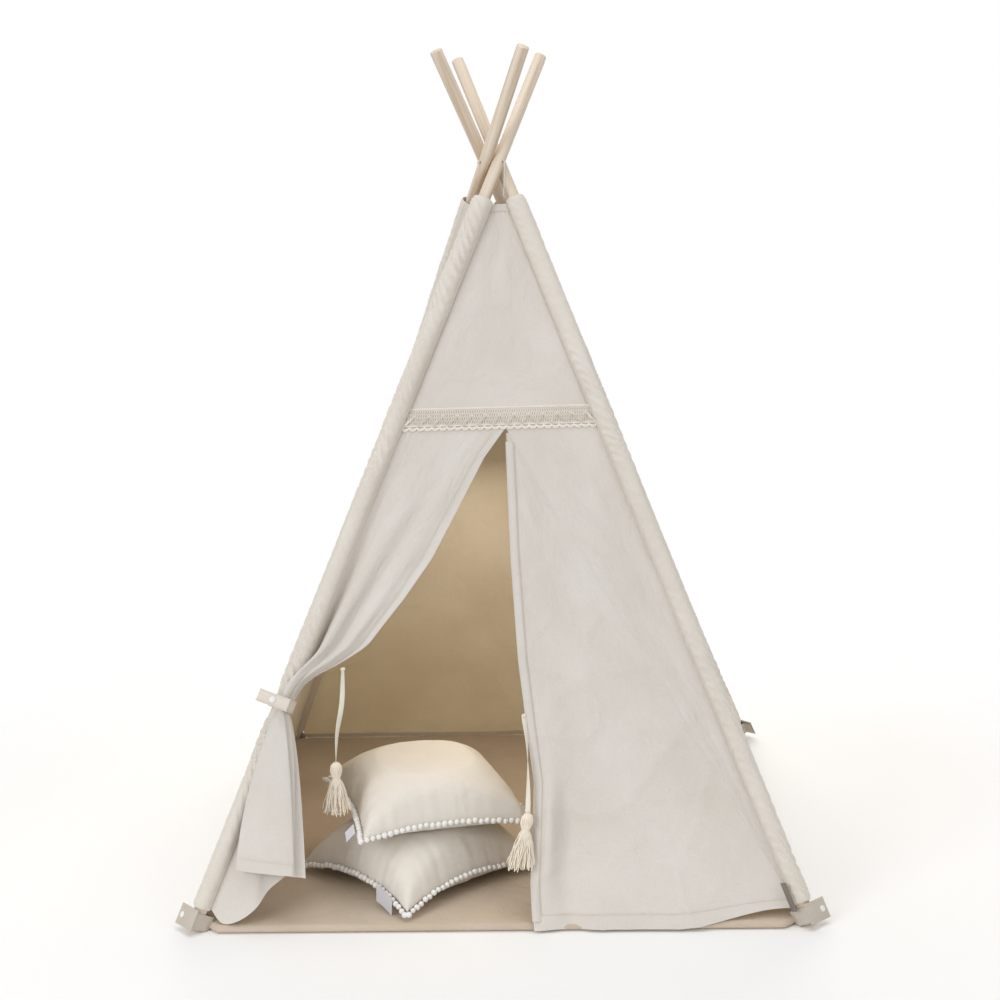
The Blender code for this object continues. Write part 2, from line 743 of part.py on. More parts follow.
def corner_strap(place, pole, side):
    """A strap sewn to the mat's corner, round the pole's foot, with a snapped leaf."""
    name = "corner_strap_" + place
    way = pole.lateral * side
    origin = pole.foot
    placement = axes(origin, pole.out, way, pole.out.cross(way))
    middle = pole.up * (CORNER_LOW + CORNER_WIDTH / 2)
    leg = POLE_RADIUS + CORNER_SIDE_GAP + STRAP_THICK / 2
    web = -(MAT_CORNER - CLEAR - STRAP_THICK / 2)
    leaf_inner = CORNER_REACH + STRAP_THICK / 2 + SNAP_SPACE
    leaf_middle = leaf_inner + STRAP_THICK / 2
    path = [
        (leaf_middle - STRAP_THICK / 2 - CLEAR, -leg), (web, -leg), (web, leg),
        (CORNER_REACH, leg), (CORNER_REACH, CORNER_FREE_END - STRAP_THICK),
    ]
    lift = Matrix.Translation(middle)
    body = flat_outline(
        name, [strip_loop(rounded(path, STRAP_THICK), STRAP_THICK)],
        CORNER_WIDTH, lift @ placement,
    )
    body = to_mesh(body)
    tilt = math.sin(slant())
    upright = math.cos(slant())
    web_low = (STRAP_THICK - web * tilt) / upright
    web_high = (MAT_THICK - web * tilt) / upright
    outer = leaf_middle + OVERRUN
    inner = web - OVERRUN
    slope_low = (CORNER_LOW - web_low) / (CORNER_REACH - web)
    slope_high = (CORNER_LOW + CORNER_WIDTH - web_high) / (CORNER_REACH - web)
    side_loop = [
        (inner, web_low - slope_low * OVERRUN),
        (outer, web_low + slope_low * (outer - web)),
        (outer, web_high + slope_high * (outer - web)),
        (inner, web_high - slope_high * OVERRUN),
    ]
    trim = flat_outline(
        name + "_side_outline", [side_loop], (CORNER_FREE_END + OVERRUN) * 2,
        axes(origin, pole.out, pole.up, pole.out.cross(pole.up)),
    )
    trim = to_mesh(trim)
    add(trim, "cutters")
    trim.hide_render = True
    trim.display_type = "WIRE"
    cut = body.modifiers.new("side outline", "BOOLEAN")
    cut.operation = "INTERSECT"
    cut.object = trim
    smooth(body)
    paint(body, CANVAS, 0.85)
    leaf_path = [(leaf_middle, -CORNER_FOLD), (leaf_middle, CORNER_FREE_END)]
    leaf_name = "corner_leaf_" + place
    strap(leaf_name, leaf_path, STRAP_THICK, CORNER_WIDTH, lift @ placement, CANVAS)
    centre = origin + middle + way * (POLE_RADIUS + SNAP_RADIUS * 2)
    snap_pair("corner_" + place, centre, pole.out, way, leaf_inner)
    fold = origin + middle + pole.out * leaf_middle - way * CORNER_FOLD
    pivot("corner_pivot_" + place, fold)
    carry("corner_pivot_" + place, leaf_name, "corner_" + place + "_snap_cap")


def floor_mat():
    """A padded square with softened upper edges, its corners cut square to the poles."""
    bpy.ops.mesh.primitive_cube_add(size=1)
    item = add(bpy.context.object)
    item.name = "floor_mat"
    bm = bmesh.new()
    bm.from_mesh(item.data)
    shape = Matrix.Diagonal((MAT_HALF * 2, MAT_HALF * 2, MAT_THICK, 1))
    raised = Matrix.Translation((0, 0, MAT_THICK / 2)) @ shape
    bmesh.ops.transform(bm, matrix=raised, verts=bm.verts)
    for pole in POLES.values():
        place = pole.foot - pole.out * MAT_CORNER
        result = bmesh.ops.bisect_plane(
            bm, geom=list(bm.verts) + list(bm.edges) + list(bm.faces),
            plane_co=place, plane_no=pole.out, clear_outer=True,
        )
        cut_edges = [part for part in result["geom_cut"] if isinstance(part, bmesh.types.BMEdge)]
        bmesh.ops.contextual_create(bm, geom=cut_edges)
    bmesh.ops.recalc_face_normals(bm, faces=bm.faces)
    bm.to_mesh(item.data)
    bm.free()
    item.data.shade_smooth()
    item.data.set_sharp_from_angle(angle=math.radians(30))
    return paint(item, CANVAS, 0.9)


def cushion_edge(share):
    """Half the side at a share of it from the middle: the sides are drawn in."""
    return CUSHION_HALF - CUSHION_DRAW * (1 - share * share)


def cushion(name, place, turn, seam, seam_rise, bottom, top):
    """A pillow: a crown between drawn-in seams that droop to the corners."""
    cells = 12
    spin = Matrix.Rotation(math.radians(turn), 3, "Z")
    bm = bmesh.new()
    for layer in (1, -1):
        bmesh.ops.create_grid(bm, x_segments=cells, y_segments=cells, size=1)
        bm.verts.ensure_lookup_table()
        for vert in list(bm.verts)[-(cells + 1) ** 2:]:
            across, along = vert.co.x, vert.co.y
            crown = ((1 - across ** 2) * (1 - along ** 2)) ** CROWN_POWER
            edge_height = seam + seam_rise * (1 - across ** 2 * along ** 2)
            target = top if layer > 0 else bottom
            height = edge_height + (target - edge_height) * min(1.0, crown * CROWN_FLAT_RATE)
            flat = Vector((across * cushion_edge(along), along * cushion_edge(across), 0))
            flat = spin @ flat
            vert.co = (place[0] + flat.x, place[1] + flat.y, height)
    bmesh.ops.remove_doubles(bm, verts=bm.verts, dist=WELD)
    return from_bmesh(name, bm, WHITE, 0.9)


def pompom_trim(name, place, turn, seam, seam_rise):
    """Pompoms all round a cushion's seam, as one beaded cord."""
    spin = Matrix.Rotation(math.radians(turn), 3, "Z")
    reach = POMPOM_RADIUS + CLEAR
    ring = []
    for quarter in range(4):
        quarter_turn = Matrix.Rotation(math.pi / 2 * quarter, 3, "Z")
        for step in range(TRIM_STEPS):
            side_place = (-1 + 2 * step / TRIM_STEPS) * (CUSHION_HALF + reach)
            along = min(abs(side_place) / CUSHION_HALF, 1)
            out = quarter_turn @ Vector((cushion_edge(along) + reach, side_place, 0))
            height = seam + seam_rise * (1 - along ** 2)
            flat = spin @ out
            ring.append(Vector((place[0] + flat.x, place[1] + flat.y, height)))
    lengths = [0.0]
    for first, second in zip(ring, ring[1:] + ring[:1]):
        lengths.append(lengths[-1] + (second - first).length)
    count = round(lengths[-1] / POMPOM_PITCH)
    points = []
    shares = []
    for index in range(count * 2):
        target = lengths[-1] * index / (count * 2)
        slot = max(i for i in range(len(ring)) if lengths[i] <= target)
        share = (target - lengths[slot]) / (lengths[slot + 1] - lengths[slot])
        points.append(ring[slot].lerp(ring[(slot + 1) % len(ring)], share))
        shares.append(1.0 if index % 2 == 0 else POMPOM_NECK / POMPOM_RADIUS)
    return tube(name, points, POMPOM_RADIUS, shares, 0, True, WHITE, 0.95)


def tassel(name, top, upward):
    """A tassel: a bound head and a skirt of strands."""
    ring_radii = (
        TASSEL_HEAD * TASSEL_SHOULDER_SHARE, TASSEL_HEAD,
        TASSEL_HEAD * TASSEL_WAIST_SHARE, TASSEL_NECK,
    )
    profile = [(0, 0)]
    for radius, share in zip(ring_radii, TASSEL_HEAD_SHARES):
        profile.append((radius, -TASSEL_HEAD * share))
    for out, down in TASSEL_SKIRT_SHARES:
        profile.append((TASSEL_SKIRT * out, -TASSEL_LENGTH * down))
    profile += [(TASSEL_SKIRT, -TASSEL_LENGTH), (0, -TASSEL_LENGTH)]
    across = Vector((1, 0, 0))
    placement = axes(top, across, upward.cross(across), upward)
    return turned(name, profile, placement, 14, LACE, 0.95)


def hanging_trim(side, start, normal, end, upward):
    """A ribbon sewn to a flap's free edge, with a tassel on its end."""
    top = start + normal * (CLOTH + CLEAR + RIBBON_LIFT + RIBBON_THICK / 2)
    down = (end - top).normalized()
    width_way = down.cross(normal).normalized()
    face_way = width_way.cross(down)
    length = (end - top).length - CLEAR
    strap(
        "ribbon_" + side, [(0, 0), (length / 2, 0), (length, 0)], RIBBON_THICK, RIBBON_WIDTH,
        axes(top, down, face_way, width_way * -1), LACE,
    )
    tassel("tassel_" + side, end, upward)
    pivot(side + "_trim_pivot", top)
    carry(side + "_trim_pivot", "ribbon_" + side, "tassel_" + side)


def left_trim(first, second):
    """The left ribbon hangs straight down in the doorway from the gathered edge."""
    start = gathered_point(first, second, 1.0, LEFT_RIBBON_SHARE)
    normal = wall_frame(first, second, TIE_HEIGHT)[3]
    clear_of_edge = start.y + normal.y * (CLOTH + CLEAR + RIBBON_LIFT + RIBBON_THICK / 2)
    end = Vector((start.x - LEFT_SWAY, clear_of_edge, start.z - LEFT_DROP))
    hanging_trim("left", start, normal, end, Vector((0, 0, 1)))


def right_trim(first, second):
    """The right ribbon and its tassel lie against the closed flap."""
    edge = slit_share(first, second, RIGHT_RIBBON_TOP, right_edge_x(RIGHT_RIBBON_TOP))
    start = wall_point(first, second, edge, RIGHT_RIBBON_TOP)
    across, normal = wall_frame(first, second, RIGHT_TASSEL_TOP)[2:]
    place = slit_share(first, second, RIGHT_TASSEL_TOP, RIGHT_TASSEL_X)
    lift = CLOTH + CLEAR + TASSEL_SKIRT
    end = wall_point(first, second, place, RIGHT_TASSEL_TOP, lift)
    hanging_trim("right", start, normal, end, normal.cross(across))


def pivot(name, place):
    """An empty on a joint's axis, for the pieces that move about it."""
    item = add(bpy.data.objects.new(name, None))
    item.location = place
    item.empty_display_size = SNAP_RADIUS
    return item


def carry(carrier, *names):
    """The named pieces go with a carrier and keep their places."""
    bpy.context.view_layer.update()
    base = bpy.data.objects[carrier]
    for name in names:
        item = bpy.data.objects[name]
        item.parent = base
        item.matrix_parent_inverse = base.matrix_world.inverted()


def set_on_pivots(first, second):
    """The legs turn about the lashing, the right flap about its fold; the cushions slide."""
    pivot("lashing_pivot", Vector((0, 0, LASH_HEIGHT)))
    carry("lashing_pivot", "lashing_cord")
    for place in POLES:
        carry("lashing_pivot", "pole_" + place, "sleeve_" + place)
    carry(
        "lashing_pivot", "front_upper_wall", "lace_band", "door_flap_left", "front_right_wall",
        "right_wall", "back_wall", "left_wall", "tieback_band", "tieback_tab",
        "tieback_snap_stud", "tieback_pivot", "left_trim_pivot",
    )
    top, foot = right_fold_line(first, second)
    normal = wall_frame(first, second, SLIT_TOP / 2)[3]
    pivot("flap_pivot", top.lerp(foot, MIDDLE_SHARE) + normal * (CLOTH / 2))
    carry("flap_pivot", "door_flap_right", "right_trim_pivot")
    carry("lashing_pivot", "flap_pivot")
    carry("cushion_lower", "pompoms_lower", "cushion_upper", "pompoms_upper")


def build():
    start_scene()
    for place, pole in POLES.items():
        drilled_pole("pole_" + place, pole)
        sleeve("sleeve_" + place, pole)
    lashing()
    front = (POLES["front_left"], POLES["front_right"])
    front_upper_wall(*front)
    lace_band(*front)
    right_wall(*front)
    right_flap(*front)
    left_flap(*front)
    side_wall("left_wall", POLES["back_left"], POLES["front_left"])
    side_wall("right_wall", POLES["front_right"], POLES["back_right"])
    side_wall("back_wall", POLES["back_right"], POLES["back_left"])
    tie_back(*front)
    floor_mat()
    for place, pole in POLES.items():
        side = -1 if place in ("front_left", "back_right") else 1
        corner_strap(place, pole, side)
    left_trim(*front)
    right_trim(*front)
    lower_seam = (LOWER_SEAM, LOWER_SEAM_RISE)
    upper_seam = (UPPER_SEAM, UPPER_SEAM_RISE)
    lower_rest = MAT_THICK + CLEAR
    cushion("cushion_lower", LOWER_PLACE, LOWER_TURN, *lower_seam, lower_rest, LOWER_TOP)
    pompom_trim("pompoms_lower", LOWER_PLACE, LOWER_TURN, *lower_seam)
    upper_rest = LOWER_TOP + CLEAR
    cushion("cushion_upper", UPPER_PLACE, UPPER_TURN, *upper_seam, upper_rest, UPPER_TOP)
    pompom_trim("pompoms_upper", UPPER_PLACE, UPPER_TURN, *upper_seam)
    set_on_pivots(*front)


build()
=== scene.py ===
import math
import random

import bmesh
import bpy
from mathutils import Matrix, Vector, noise


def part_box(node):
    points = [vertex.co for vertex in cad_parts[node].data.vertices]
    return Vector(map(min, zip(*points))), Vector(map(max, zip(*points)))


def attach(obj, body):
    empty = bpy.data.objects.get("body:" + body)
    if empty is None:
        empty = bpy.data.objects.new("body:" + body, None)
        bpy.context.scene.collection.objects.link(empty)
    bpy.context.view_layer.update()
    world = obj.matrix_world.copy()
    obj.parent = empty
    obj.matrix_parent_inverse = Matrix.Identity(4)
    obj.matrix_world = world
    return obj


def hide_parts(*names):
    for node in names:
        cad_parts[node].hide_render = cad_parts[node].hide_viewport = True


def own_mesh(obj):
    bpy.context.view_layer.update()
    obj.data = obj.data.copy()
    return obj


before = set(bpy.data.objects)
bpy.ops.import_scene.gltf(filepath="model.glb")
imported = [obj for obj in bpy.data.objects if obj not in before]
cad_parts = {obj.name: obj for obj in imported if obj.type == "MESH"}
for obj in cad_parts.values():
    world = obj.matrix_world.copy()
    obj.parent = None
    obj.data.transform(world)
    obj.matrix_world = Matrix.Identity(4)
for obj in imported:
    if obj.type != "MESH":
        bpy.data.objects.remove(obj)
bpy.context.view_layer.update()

# Frame sizes, in metres, as in the part's source
FOOT_HALF = 0.580
LASH_HEIGHT = 1.434
POLE_RADIUS = 0.013
CROSSING_GAP = 0.0006
CLEAR = 0.0003
COVER_TOP = 1.346
SLEEVE_BOTTOM = 0.048
SLEEVE_LOW = 0.0415
SLEEVE_RISE = 0.010
SLEEVE_FOOT_RADIUS = 0.0158
SLEEVE_TOP_RADIUS = 0.0205
SLIT_TOP = 0.898
TIE_HEIGHT = 0.396
TIE_WIDTH = 0.025
BUNDLE_HALF = 0.0165
BUNDLE_DEPTH = 0.0240
BUNDLE_ROOM = 0.0060
MAT_HALF = 0.590
MAT_THICK = 0.015
MAT_CORNER = 0.0290

# Cushions: middle, turn in degrees, tilt, seam height, its rise from the corners
LOWER = ((-0.170, -0.325), 44.0, (0, 0), 0.026, 0.028)
UPPER = ((-0.155, -0.300), 19.5, (-0.028, 0.033), 0.152, 0.012)
CUSHION_HALF = 0.171
CUSHION_DRAW = 0.016
CROWN_POWER = 0.45
CROWN_FLAT_RATE = 1.25

# Crown heights of the cushions' upper and lower faces
LOWER_ENDS = (0.130, 0.0153)
UPPER_ENDS = (0.243, 0.1363)

# Pole, wall, mat corner, strap and snap sizes
POLE_LENGTH = 1.899
WALL_LOW = 0.0152
MAT_CUT = 0.0605
HALF_STRAP = 0.0008
LEAF_GAP = 0.0030
CAP_SIZE = (0.006, 0.0026)
STUD_SIZE = (0.0048, 0.0024)

# Cloth thicknesses, hems, and how far hems and stitches stand off their panel
CLOTH_THICK = 0.0014
HEM_THICK = 0.0012
HEM_LIFT = 0.0013
HEM_STITCH_LIFT = 0.0022
SEAM_LIFT = 0.0010
TOP_HEM = 0.018
TOP_STITCH = 0.016


# Poles and walls as lines and planes

class Pole:
    """A pole's axis: foot, crossing, and the ways up, aside and outward."""

    def __init__(self, side_x, side_y):
        slant = math.atan2(FOOT_HALF * math.sqrt(2), LASH_HEIGHT)
        flat = math.cos(slant)
        offset = (POLE_RADIUS * 2 + CROSSING_GAP) * math.sqrt(1 + flat * flat) / (2 * flat)
        self.foot = Vector((side_x * FOOT_HALF, side_y * FOOT_HALF, 0))
        turn = math.asin(offset / self.foot.length)
        heading = Matrix.Rotation(-turn, 3, "Z") @ -self.foot.normalized()
        self.lateral = Matrix.Rotation(-math.pi / 2, 3, "Z") @ heading
        self.crossing = self.lateral * offset + Vector((0, 0, LASH_HEIGHT))
        self.up = (self.crossing - self.foot).normalized()
        self.out = self.lateral.cross(self.up)

    def at(self, height):
        return self.foot + (self.crossing - self.foot) * (height / LASH_HEIGHT)


POLES = {
    "front_left": Pole(-1, -1),
    "front_right": Pole(1, -1),
    "back_right": Pole(1, 1),
    "back_left": Pole(-1, 1),
}
FRONT = (POLES["front_left"], POLES["front_right"])


def smoothstep(low, high, value):
    share = min(max((value - low) / (high - low), 0), 1)
    return share * share * (3 - 2 * share)


def sleeve_radius(height):
    share = min(max(height / COVER_TOP, 0), 1)
    return SLEEVE_FOOT_RADIUS + (SLEEVE_TOP_RADIUS - SLEEVE_FOOT_RADIUS) * share


def wall_frame(first, second, height):
    """Two seam points at a height, the way between them and the outward normal."""
    a, b = first.at(height), second.at(height)
    across = (b - a).normalized()
    normal = first.up.cross(across).normalized()
    if normal.dot(Vector((a.x, a.y, 0))) < 0:
        normal = -normal
    reach = sleeve_radius(height)
    start = a + across * (reach / math.sqrt(1 - across.dot(first.up) ** 2))
    end = b - across * (reach / math.sqrt(1 - across.dot(second.up) ** 2))
    return start, end, across, normal


def wall_point(first, second, share, height, lift=0.0):
    start, end, across, normal = wall_frame(first, second, height)
    return start.lerp(end, share) + normal * lift


def ripple(x, y, seed=0.0):
    """Smooth noise from -1 to 1."""
    return noise.noise(Vector((x, y, seed)))


def crease(x, y, seed=0.0):
    """Narrow ridges where smooth noise crosses zero."""
    return max(0.0, 1 - abs(noise.noise(Vector((x, y, seed)))) * 7) ** 2


# Camera, at the photograph's viewing angle

def set_camera():
    yaw, pitch, roll = -0.0397, -0.1574, -0.0260
    forward = Vector((
        math.sin(yaw) * math.cos(pitch), math.cos(yaw) * math.cos(pitch), math.sin(pitch)
    ))
    right = Vector((math.cos(yaw), -math.sin(yaw), 0))
    up = right.cross(forward)
    tilted = right * math.cos(roll) + up * math.sin(roll)
    upright = up * math.cos(roll) - right * math.sin(roll)
    data = bpy.data.cameras.new("camera")
    data.sensor_width = 36
    data.lens = 57.03
    item = bpy.data.objects.new("camera", data)
    bpy.context.scene.collection.objects.link(item)
    turn = Matrix((tilted, upright, -forward)).transposed().to_4x4()
    item.matrix_world = Matrix.Translation((0.1322, -3.3736, 1.2563)) @ turn
    bpy.context.scene.camera = item


set_camera()


# Materials

def linear(code):
    """An sRGB hex colour as linear numbers."""
    shades = [int(code[at:at + 2], 16) / 255 for at in (0, 2, 4)]
    return [v / 12.92 if v <= 0.04045 else ((v + 0.055) / 1.055) ** 2.4 for v in shades] + [1]


def put(tree, kind, inputs=None, **settings):
    """Adds a node with its settings, constants and links; a node stands for its first output."""
    item = tree.nodes.new(kind)
    for key, value in settings.items():
        setattr(item, key, value)
    for key, value in (inputs or {}).items():
        if isinstance(value, bpy.types.Node):
            value = value.outputs[0]
        if isinstance(value, bpy.types.NodeSocket):
            tree.links.new(value, item.inputs[key])
        else:
            item.inputs[key].default_value = value
    return item


def start_material(name, **constants):
    """A Principled material and its tree; constants go on the shader's own sockets."""
    mat = bpy.data.materials.new(name)
    mat.use_nodes = True
    tree = mat.node_tree
    shader = tree.nodes["Principled BSDF"]
    for key, value in constants.items():
        shader.inputs[key.replace("_", " ")].default_value = value
    return mat, tree, shader


def object_place(tree):
    return put(tree, "ShaderNodeTexCoord").outputs["Object"]


def cloud(tree, place, scale, detail, **more):
    inputs = {"Vector": place, "Scale": scale, "Detail": detail, **more}
    return put(tree, "ShaderNodeTexNoise", inputs)


def scaled(tree, place, scale):
    return put(tree, "ShaderNodeMapping", {"Vector": place, "Scale": scale})


def dye(tree, shader, share, dark, pale, low=0.0, high=1.0):
    """Base colour from dark to pale as the share runs from low to high."""
    colour = put(tree, "ShaderNodeValToRGB", {"Fac": share})
    ramp = colour.color_ramp
    for stop, position, tone in zip(ramp.elements, (low, high), (dark, pale)):
        stop.position = position
        stop.color = linear(tone)
    tree.links.new(colour.outputs["Color"], shader.inputs["Base Color"])
    return ramp


def emboss(tree, shader, height, strength, distance, under=None):
    """Relief from a height, laid over another relief if there is one."""
    inputs = {"Height": height, "Strength": strength, "Distance": distance}
    if under:
        inputs["Normal"] = under
    relief = put(tree, "ShaderNodeBump", inputs)
    tree.links.new(relief.outputs["Normal"], shader.inputs["Normal"])
    return relief


def woven(name, pale, warm, thread, bump, creases, roughness=0.9, through=0.0):
    """Plain-woven cotton, read on the cloth's own UV map in metres.

    Single threads are 0.4 mm, too fine to show, so the slubs are drawn thread wide.
    """
    mat, tree, shader = start_material(
        name, Roughness=roughness, Specular_IOR_Level=0.18, Sheen_Weight=0.08,
        Sheen_Roughness=0.6, Subsurface_Weight=through, Subsurface_Scale=0.0035,
        Subsurface_Radius=(1.0, 0.86, 0.66),
    )
    place = put(tree, "ShaderNodeUVMap", uv_map="cloth")
    fine, coarse = 1 / thread, 0.06 / thread
    warp = cloud(tree, scaled(tree, place, (fine, coarse, 1)), 1.0, 2.0)
    weft = cloud(tree, scaled(tree, place, (coarse, fine, 1)), 1.0, 2.0)
    weave = put(tree, "ShaderNodeMath", {0: warp, 1: weft}, operation="ADD")
    mixed = put(tree, "ShaderNodeMath", {0: weave, 1: 0.35, 2: cloud(tree, place, 5.0, 3.0)},
                operation="MULTIPLY_ADD")
    tone = put(tree, "ShaderNodeMapRange", {"Value": mixed, "From Min": 0.65, "From Max": 1.05})
    dye(tree, shader, tone, warm, pale)
    soft = cloud(tree, place, 14.0, 4.0, Roughness=0.55, Distortion=0.9)
    folds = emboss(tree, shader, soft, creases, 0.010)
    emboss(tree, shader, weave, bump, 0.0006, folds)
    return mat


def yarn(name, pale, dark, strand, roughness=0.95):
    """Spun cotton yarn: fine twisted plies that break up the light."""
    mat, tree, shader = start_material(
        name, Roughness=roughness, Specular_IOR_Level=0.15, Sheen_Weight=0.2,
        Subsurface_Weight=0.15, Subsurface_Scale=0.002, Subsurface_Radius=(1, 0.85, 0.65),
    )
    plies = cloud(tree, object_place(tree), 1 / strand, 3.0)
    dye(tree, shader, plies, dark, pale, 0.3, 0.7)
    emboss(tree, shader, plies, 0.35, strand / 2)
    return mat


def turned_pine(name, pole):
    """Sanded pine, unvarnished: long straight grain, a few darker streaks, a dull sheen."""
    mat, tree, shader = start_material(name, Roughness=0.55, Specular_IOR_Level=0.35)
    upright = Matrix((pole.out, pole.lateral, pole.up)).to_euler()
    place = put(tree, "ShaderNodeMapping",
                {"Vector": object_place(tree), "Location": -pole.foot})
    place = put(tree, "ShaderNodeMapping", {"Vector": place, "Rotation": upright})
    grain = cloud(tree, scaled(tree, place, (160, 160, 5)), 1.0, 4.0, Distortion=0.4)
    streak = cloud(tree, scaled(tree, place, (38, 38, 2.2)), 1.0, 2.0, Distortion=1.2)
    both = put(tree, "ShaderNodeMath", {0: grain, 1: 0.45, 2: streak}, operation="MULTIPLY_ADD")
    ramp = dye(tree, shader, both, "C6AF94", "EEE2D3", 0.50, 0.92)
    ramp.elements.new(0.68).color = linear("E1D1BD")
    emboss(tree, shader, grain, 0.25, 0.0006)
    return mat


def moulded_snap():
    """Moulded polyoxymethylene snap caps: white, smooth, a soft clear highlight."""
    mat, tree, shader = start_material(
        "moulded_snap_plastic", Roughness=0.3, IOR=1.48, Specular_IOR_Level=0.5
    )
    flow = cloud(tree, object_place(tree), 260.0, 2.0)
    dye(tree, shader, flow, "E9E8E5", "F6F5F3")
    emboss(tree, shader, flow, 0.08, 0.0004)
    return mat


CANVAS = woven("woven_cotton_canvas", "E4DED3", "DBD3C8", 0.0011, 0.5, 0.35, through=0.4)
FRONT_CANVAS = woven("woven_door_canvas", "DFDAD4", "D6D0C8", 0.0011, 0.5, 0.4, through=0.08)
SLEEVE_CANVAS = woven("gathered_cotton_canvas", "E8E1D8", "DDD5CA", 0.0011, 0.5, 0.4, through=0.25)
STRAP_CANVAS = woven("doubled_canvas_strap", "ECE5DC", "E0D8CD", 0.0011, 0.6, 0.25)
# Corner straps: the strap canvas made darker. This is painted shade, standing in for the dimmer
# light at the pole feet.
CORNER_STRAP_SHADED_CANVAS = woven("doubled_canvas_strap_painted_shade", "CFC8BD", "C4BBAE", 0.0011, 0.6, 0.25)
MAT_CANVAS = woven("quilted_canvas_mat", "CFC0AE", "C4B4A0", 0.0011, 0.5, 0.5)
CUSHION_COTTON = woven("soft_cushion_cotton", "EAE5DD", "E2DCD2", 0.0010, 0.35, 0.25)
TAG_SATIN = woven("woven_satin_tag", "E4E4EA", "D0D0D9", 0.0008, 0.3, 0.1, 0.55)
GREY_TAG = woven("grey_satin_tag", "8E877F", "746D66", 0.0008, 0.3, 0.1, 0.55)
RIBBON = woven("cotton_twill_ribbon", "EFECDF", "E3DECF", 0.0009, 0.5, 0.1, 0.75)
LACE_YARN = yarn("crochet_cotton_yarn", "FFF9F0", "F6ECDF", 0.0012)
TASSEL_YARN = yarn("tassel_cotton_yarn", "FFF8EC", "F3E4CD", 0.0016)
POMPOM_YARN = yarn("pompom_acrylic_yarn", "FAFAF9", "E4E3E1", 0.0014)
CORD_YARN = yarn("twisted_cotton_cord", "F6F3EC", "D8D1C4", 0.0007)
THREAD = yarn("sewing_thread", "E6DCCB", "D2C5B0", 0.0006, 0.7)
SNAP = moulded_snap()


# Mesh helpers

def steps(count, low=0.0, high=1.0):
    return [low + (high - low) * at / count for at in range(count + 1)]


def turns_of(count):
    """Angles evenly round a circle."""
    return steps(count, 0, 2 * math.pi)[:-1]


def spoke(angle, reach, rise=0.0):
    return Vector((math.cos(angle) * reach, math.sin(angle) * reach, rise))


def link(name, mesh, mat=None):
    item = bpy.data.objects.new(name, mesh)
    bpy.context.scene.collection.objects.link(item)
    if mat:
        mesh.materials.append(mat)
    mesh.shade_smooth()
    return item


def built(name, bm, mat=None):
    """The object of a finished bmesh."""
    mesh = bpy.data.meshes.new(name)
    bm.to_mesh(mesh)
    bm.free()
    return link(name, mesh, mat)


def plain(item):
    """Keeps what the modifiers give as the object's own mesh."""
    graph = bpy.context.evaluated_depsgraph_get()
    made = bpy.data.meshes.new_from_object(item.evaluated_get(graph))
    item.modifiers.clear()
    item.data = made
    made.shade_smooth()
    return made


def own(item, node, body):
    """The solid that a piece replaces and the body that it rides on."""
    if node:
        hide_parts(node)
    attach(item, body)


def cloth_grid(name, across, down, surface, flat, mat, thickness, flip=False):
    """A thick cloth on surface(u, v) with a UV map of its flat size in metres."""
    bm = bmesh.new()
    layer = bm.loops.layers.uv.new("cloth")
    rows = [[bm.verts.new(surface(u, v)) for u in across] for v in down]
    for j in range(len(down) - 1):
        for i in range(len(across) - 1):
            ring = [(i, j), (i + 1, j), (i + 1, j + 1), (i, j + 1)]
            if flip:
                ring.reverse()
            face = bm.faces.new([rows[b][a] for a, b in ring])
            for loop, (a, b) in zip(face.loops, ring):
                loop[layer].uv = (across[a] * flat[0], down[b] * flat[1])
    item = built(name, bm, mat)
    body = item.modifiers.new("cloth", "SOLIDIFY")
    body.thickness = thickness
    body.offset = 0
    plain(item).set_sharp_from_angle(angle=math.radians(42))
    return item


def between(before, here, there, after, t):
    """A smooth curve from here to there that heeds its neighbours."""
    bend = (before * -1 + here * 3 - there * 3 + after) * t ** 3
    bend += (before * 2 - here * 5 + there * 4 - after) * t ** 2
    return (bend + (there - before) * t + here * 2) / 2


def smooth_route(points, step):
    """Points at even steps along a smooth curve through a route."""
    ends = [points[0] * 2 - points[1]] + list(points) + [points[-1] * 2 - points[-2]]
    result = []
    for four in zip(ends, ends[1:], ends[2:], ends[3:]):
        count = max(1, round((four[1] - four[2]).length / step))
        result += [between(*four, part / count) for part in range(count)]
    return result + [points[-1]]


def path_length(points):
    return sum((b - a).length for a, b in zip(points, points[1:]))


def sweep(name, points, outline, mat, width_way=None, twist=0.0, first_turn=0.0):
    """A closed outline swept along points and capped at both ends."""
    bm = bmesh.new()
    layer = bm.loops.layers.uv.new("cloth")
    rings, lengths = [], []
    run = 0.0
    side = None
    for before, here, after in zip(points[:1] + points, points, points[1:] + points[-1:]):
        ahead = (after - before).normalized()
        if width_way is not None:
            side = (width_way - ahead * width_way.dot(ahead)).normalized()
        elif side is None:
            side = ahead.orthogonal().normalized()
        else:
            side = (side - ahead * side.dot(ahead)).normalized()
        rise = side.cross(ahead)
        run += (here - before).length
        lengths.append(run)
        turn = first_turn + twist * run
        cos, sin = math.cos(turn), math.sin(turn)
        rings.append([
            bm.verts.new(here + side * (x * cos - y * sin) + rise * (x * sin + y * cos))
            for x, y in outline
        ])
    count = len(outline)
    girth = sum((Vector(outline[i]) - Vector(outline[i - 1])).length for i in range(count))
    for j in range(len(rings) - 1):
        for i in range(count):
            spots = ((i, j), (i + 1, j), (i + 1, j + 1), (i, j + 1))
            face = bm.faces.new([rings[b][a % count] for a, b in spots])
            for loop, (a, b) in zip(face.loops, spots):
                loop[layer].uv = (a / count * girth, lengths[b])
    bm.faces.new(rings[0][::-1])
    bm.faces.new(rings[-1])
    bmesh.ops.recalc_face_normals(bm, faces=bm.faces)
    return built(name, bm, mat)


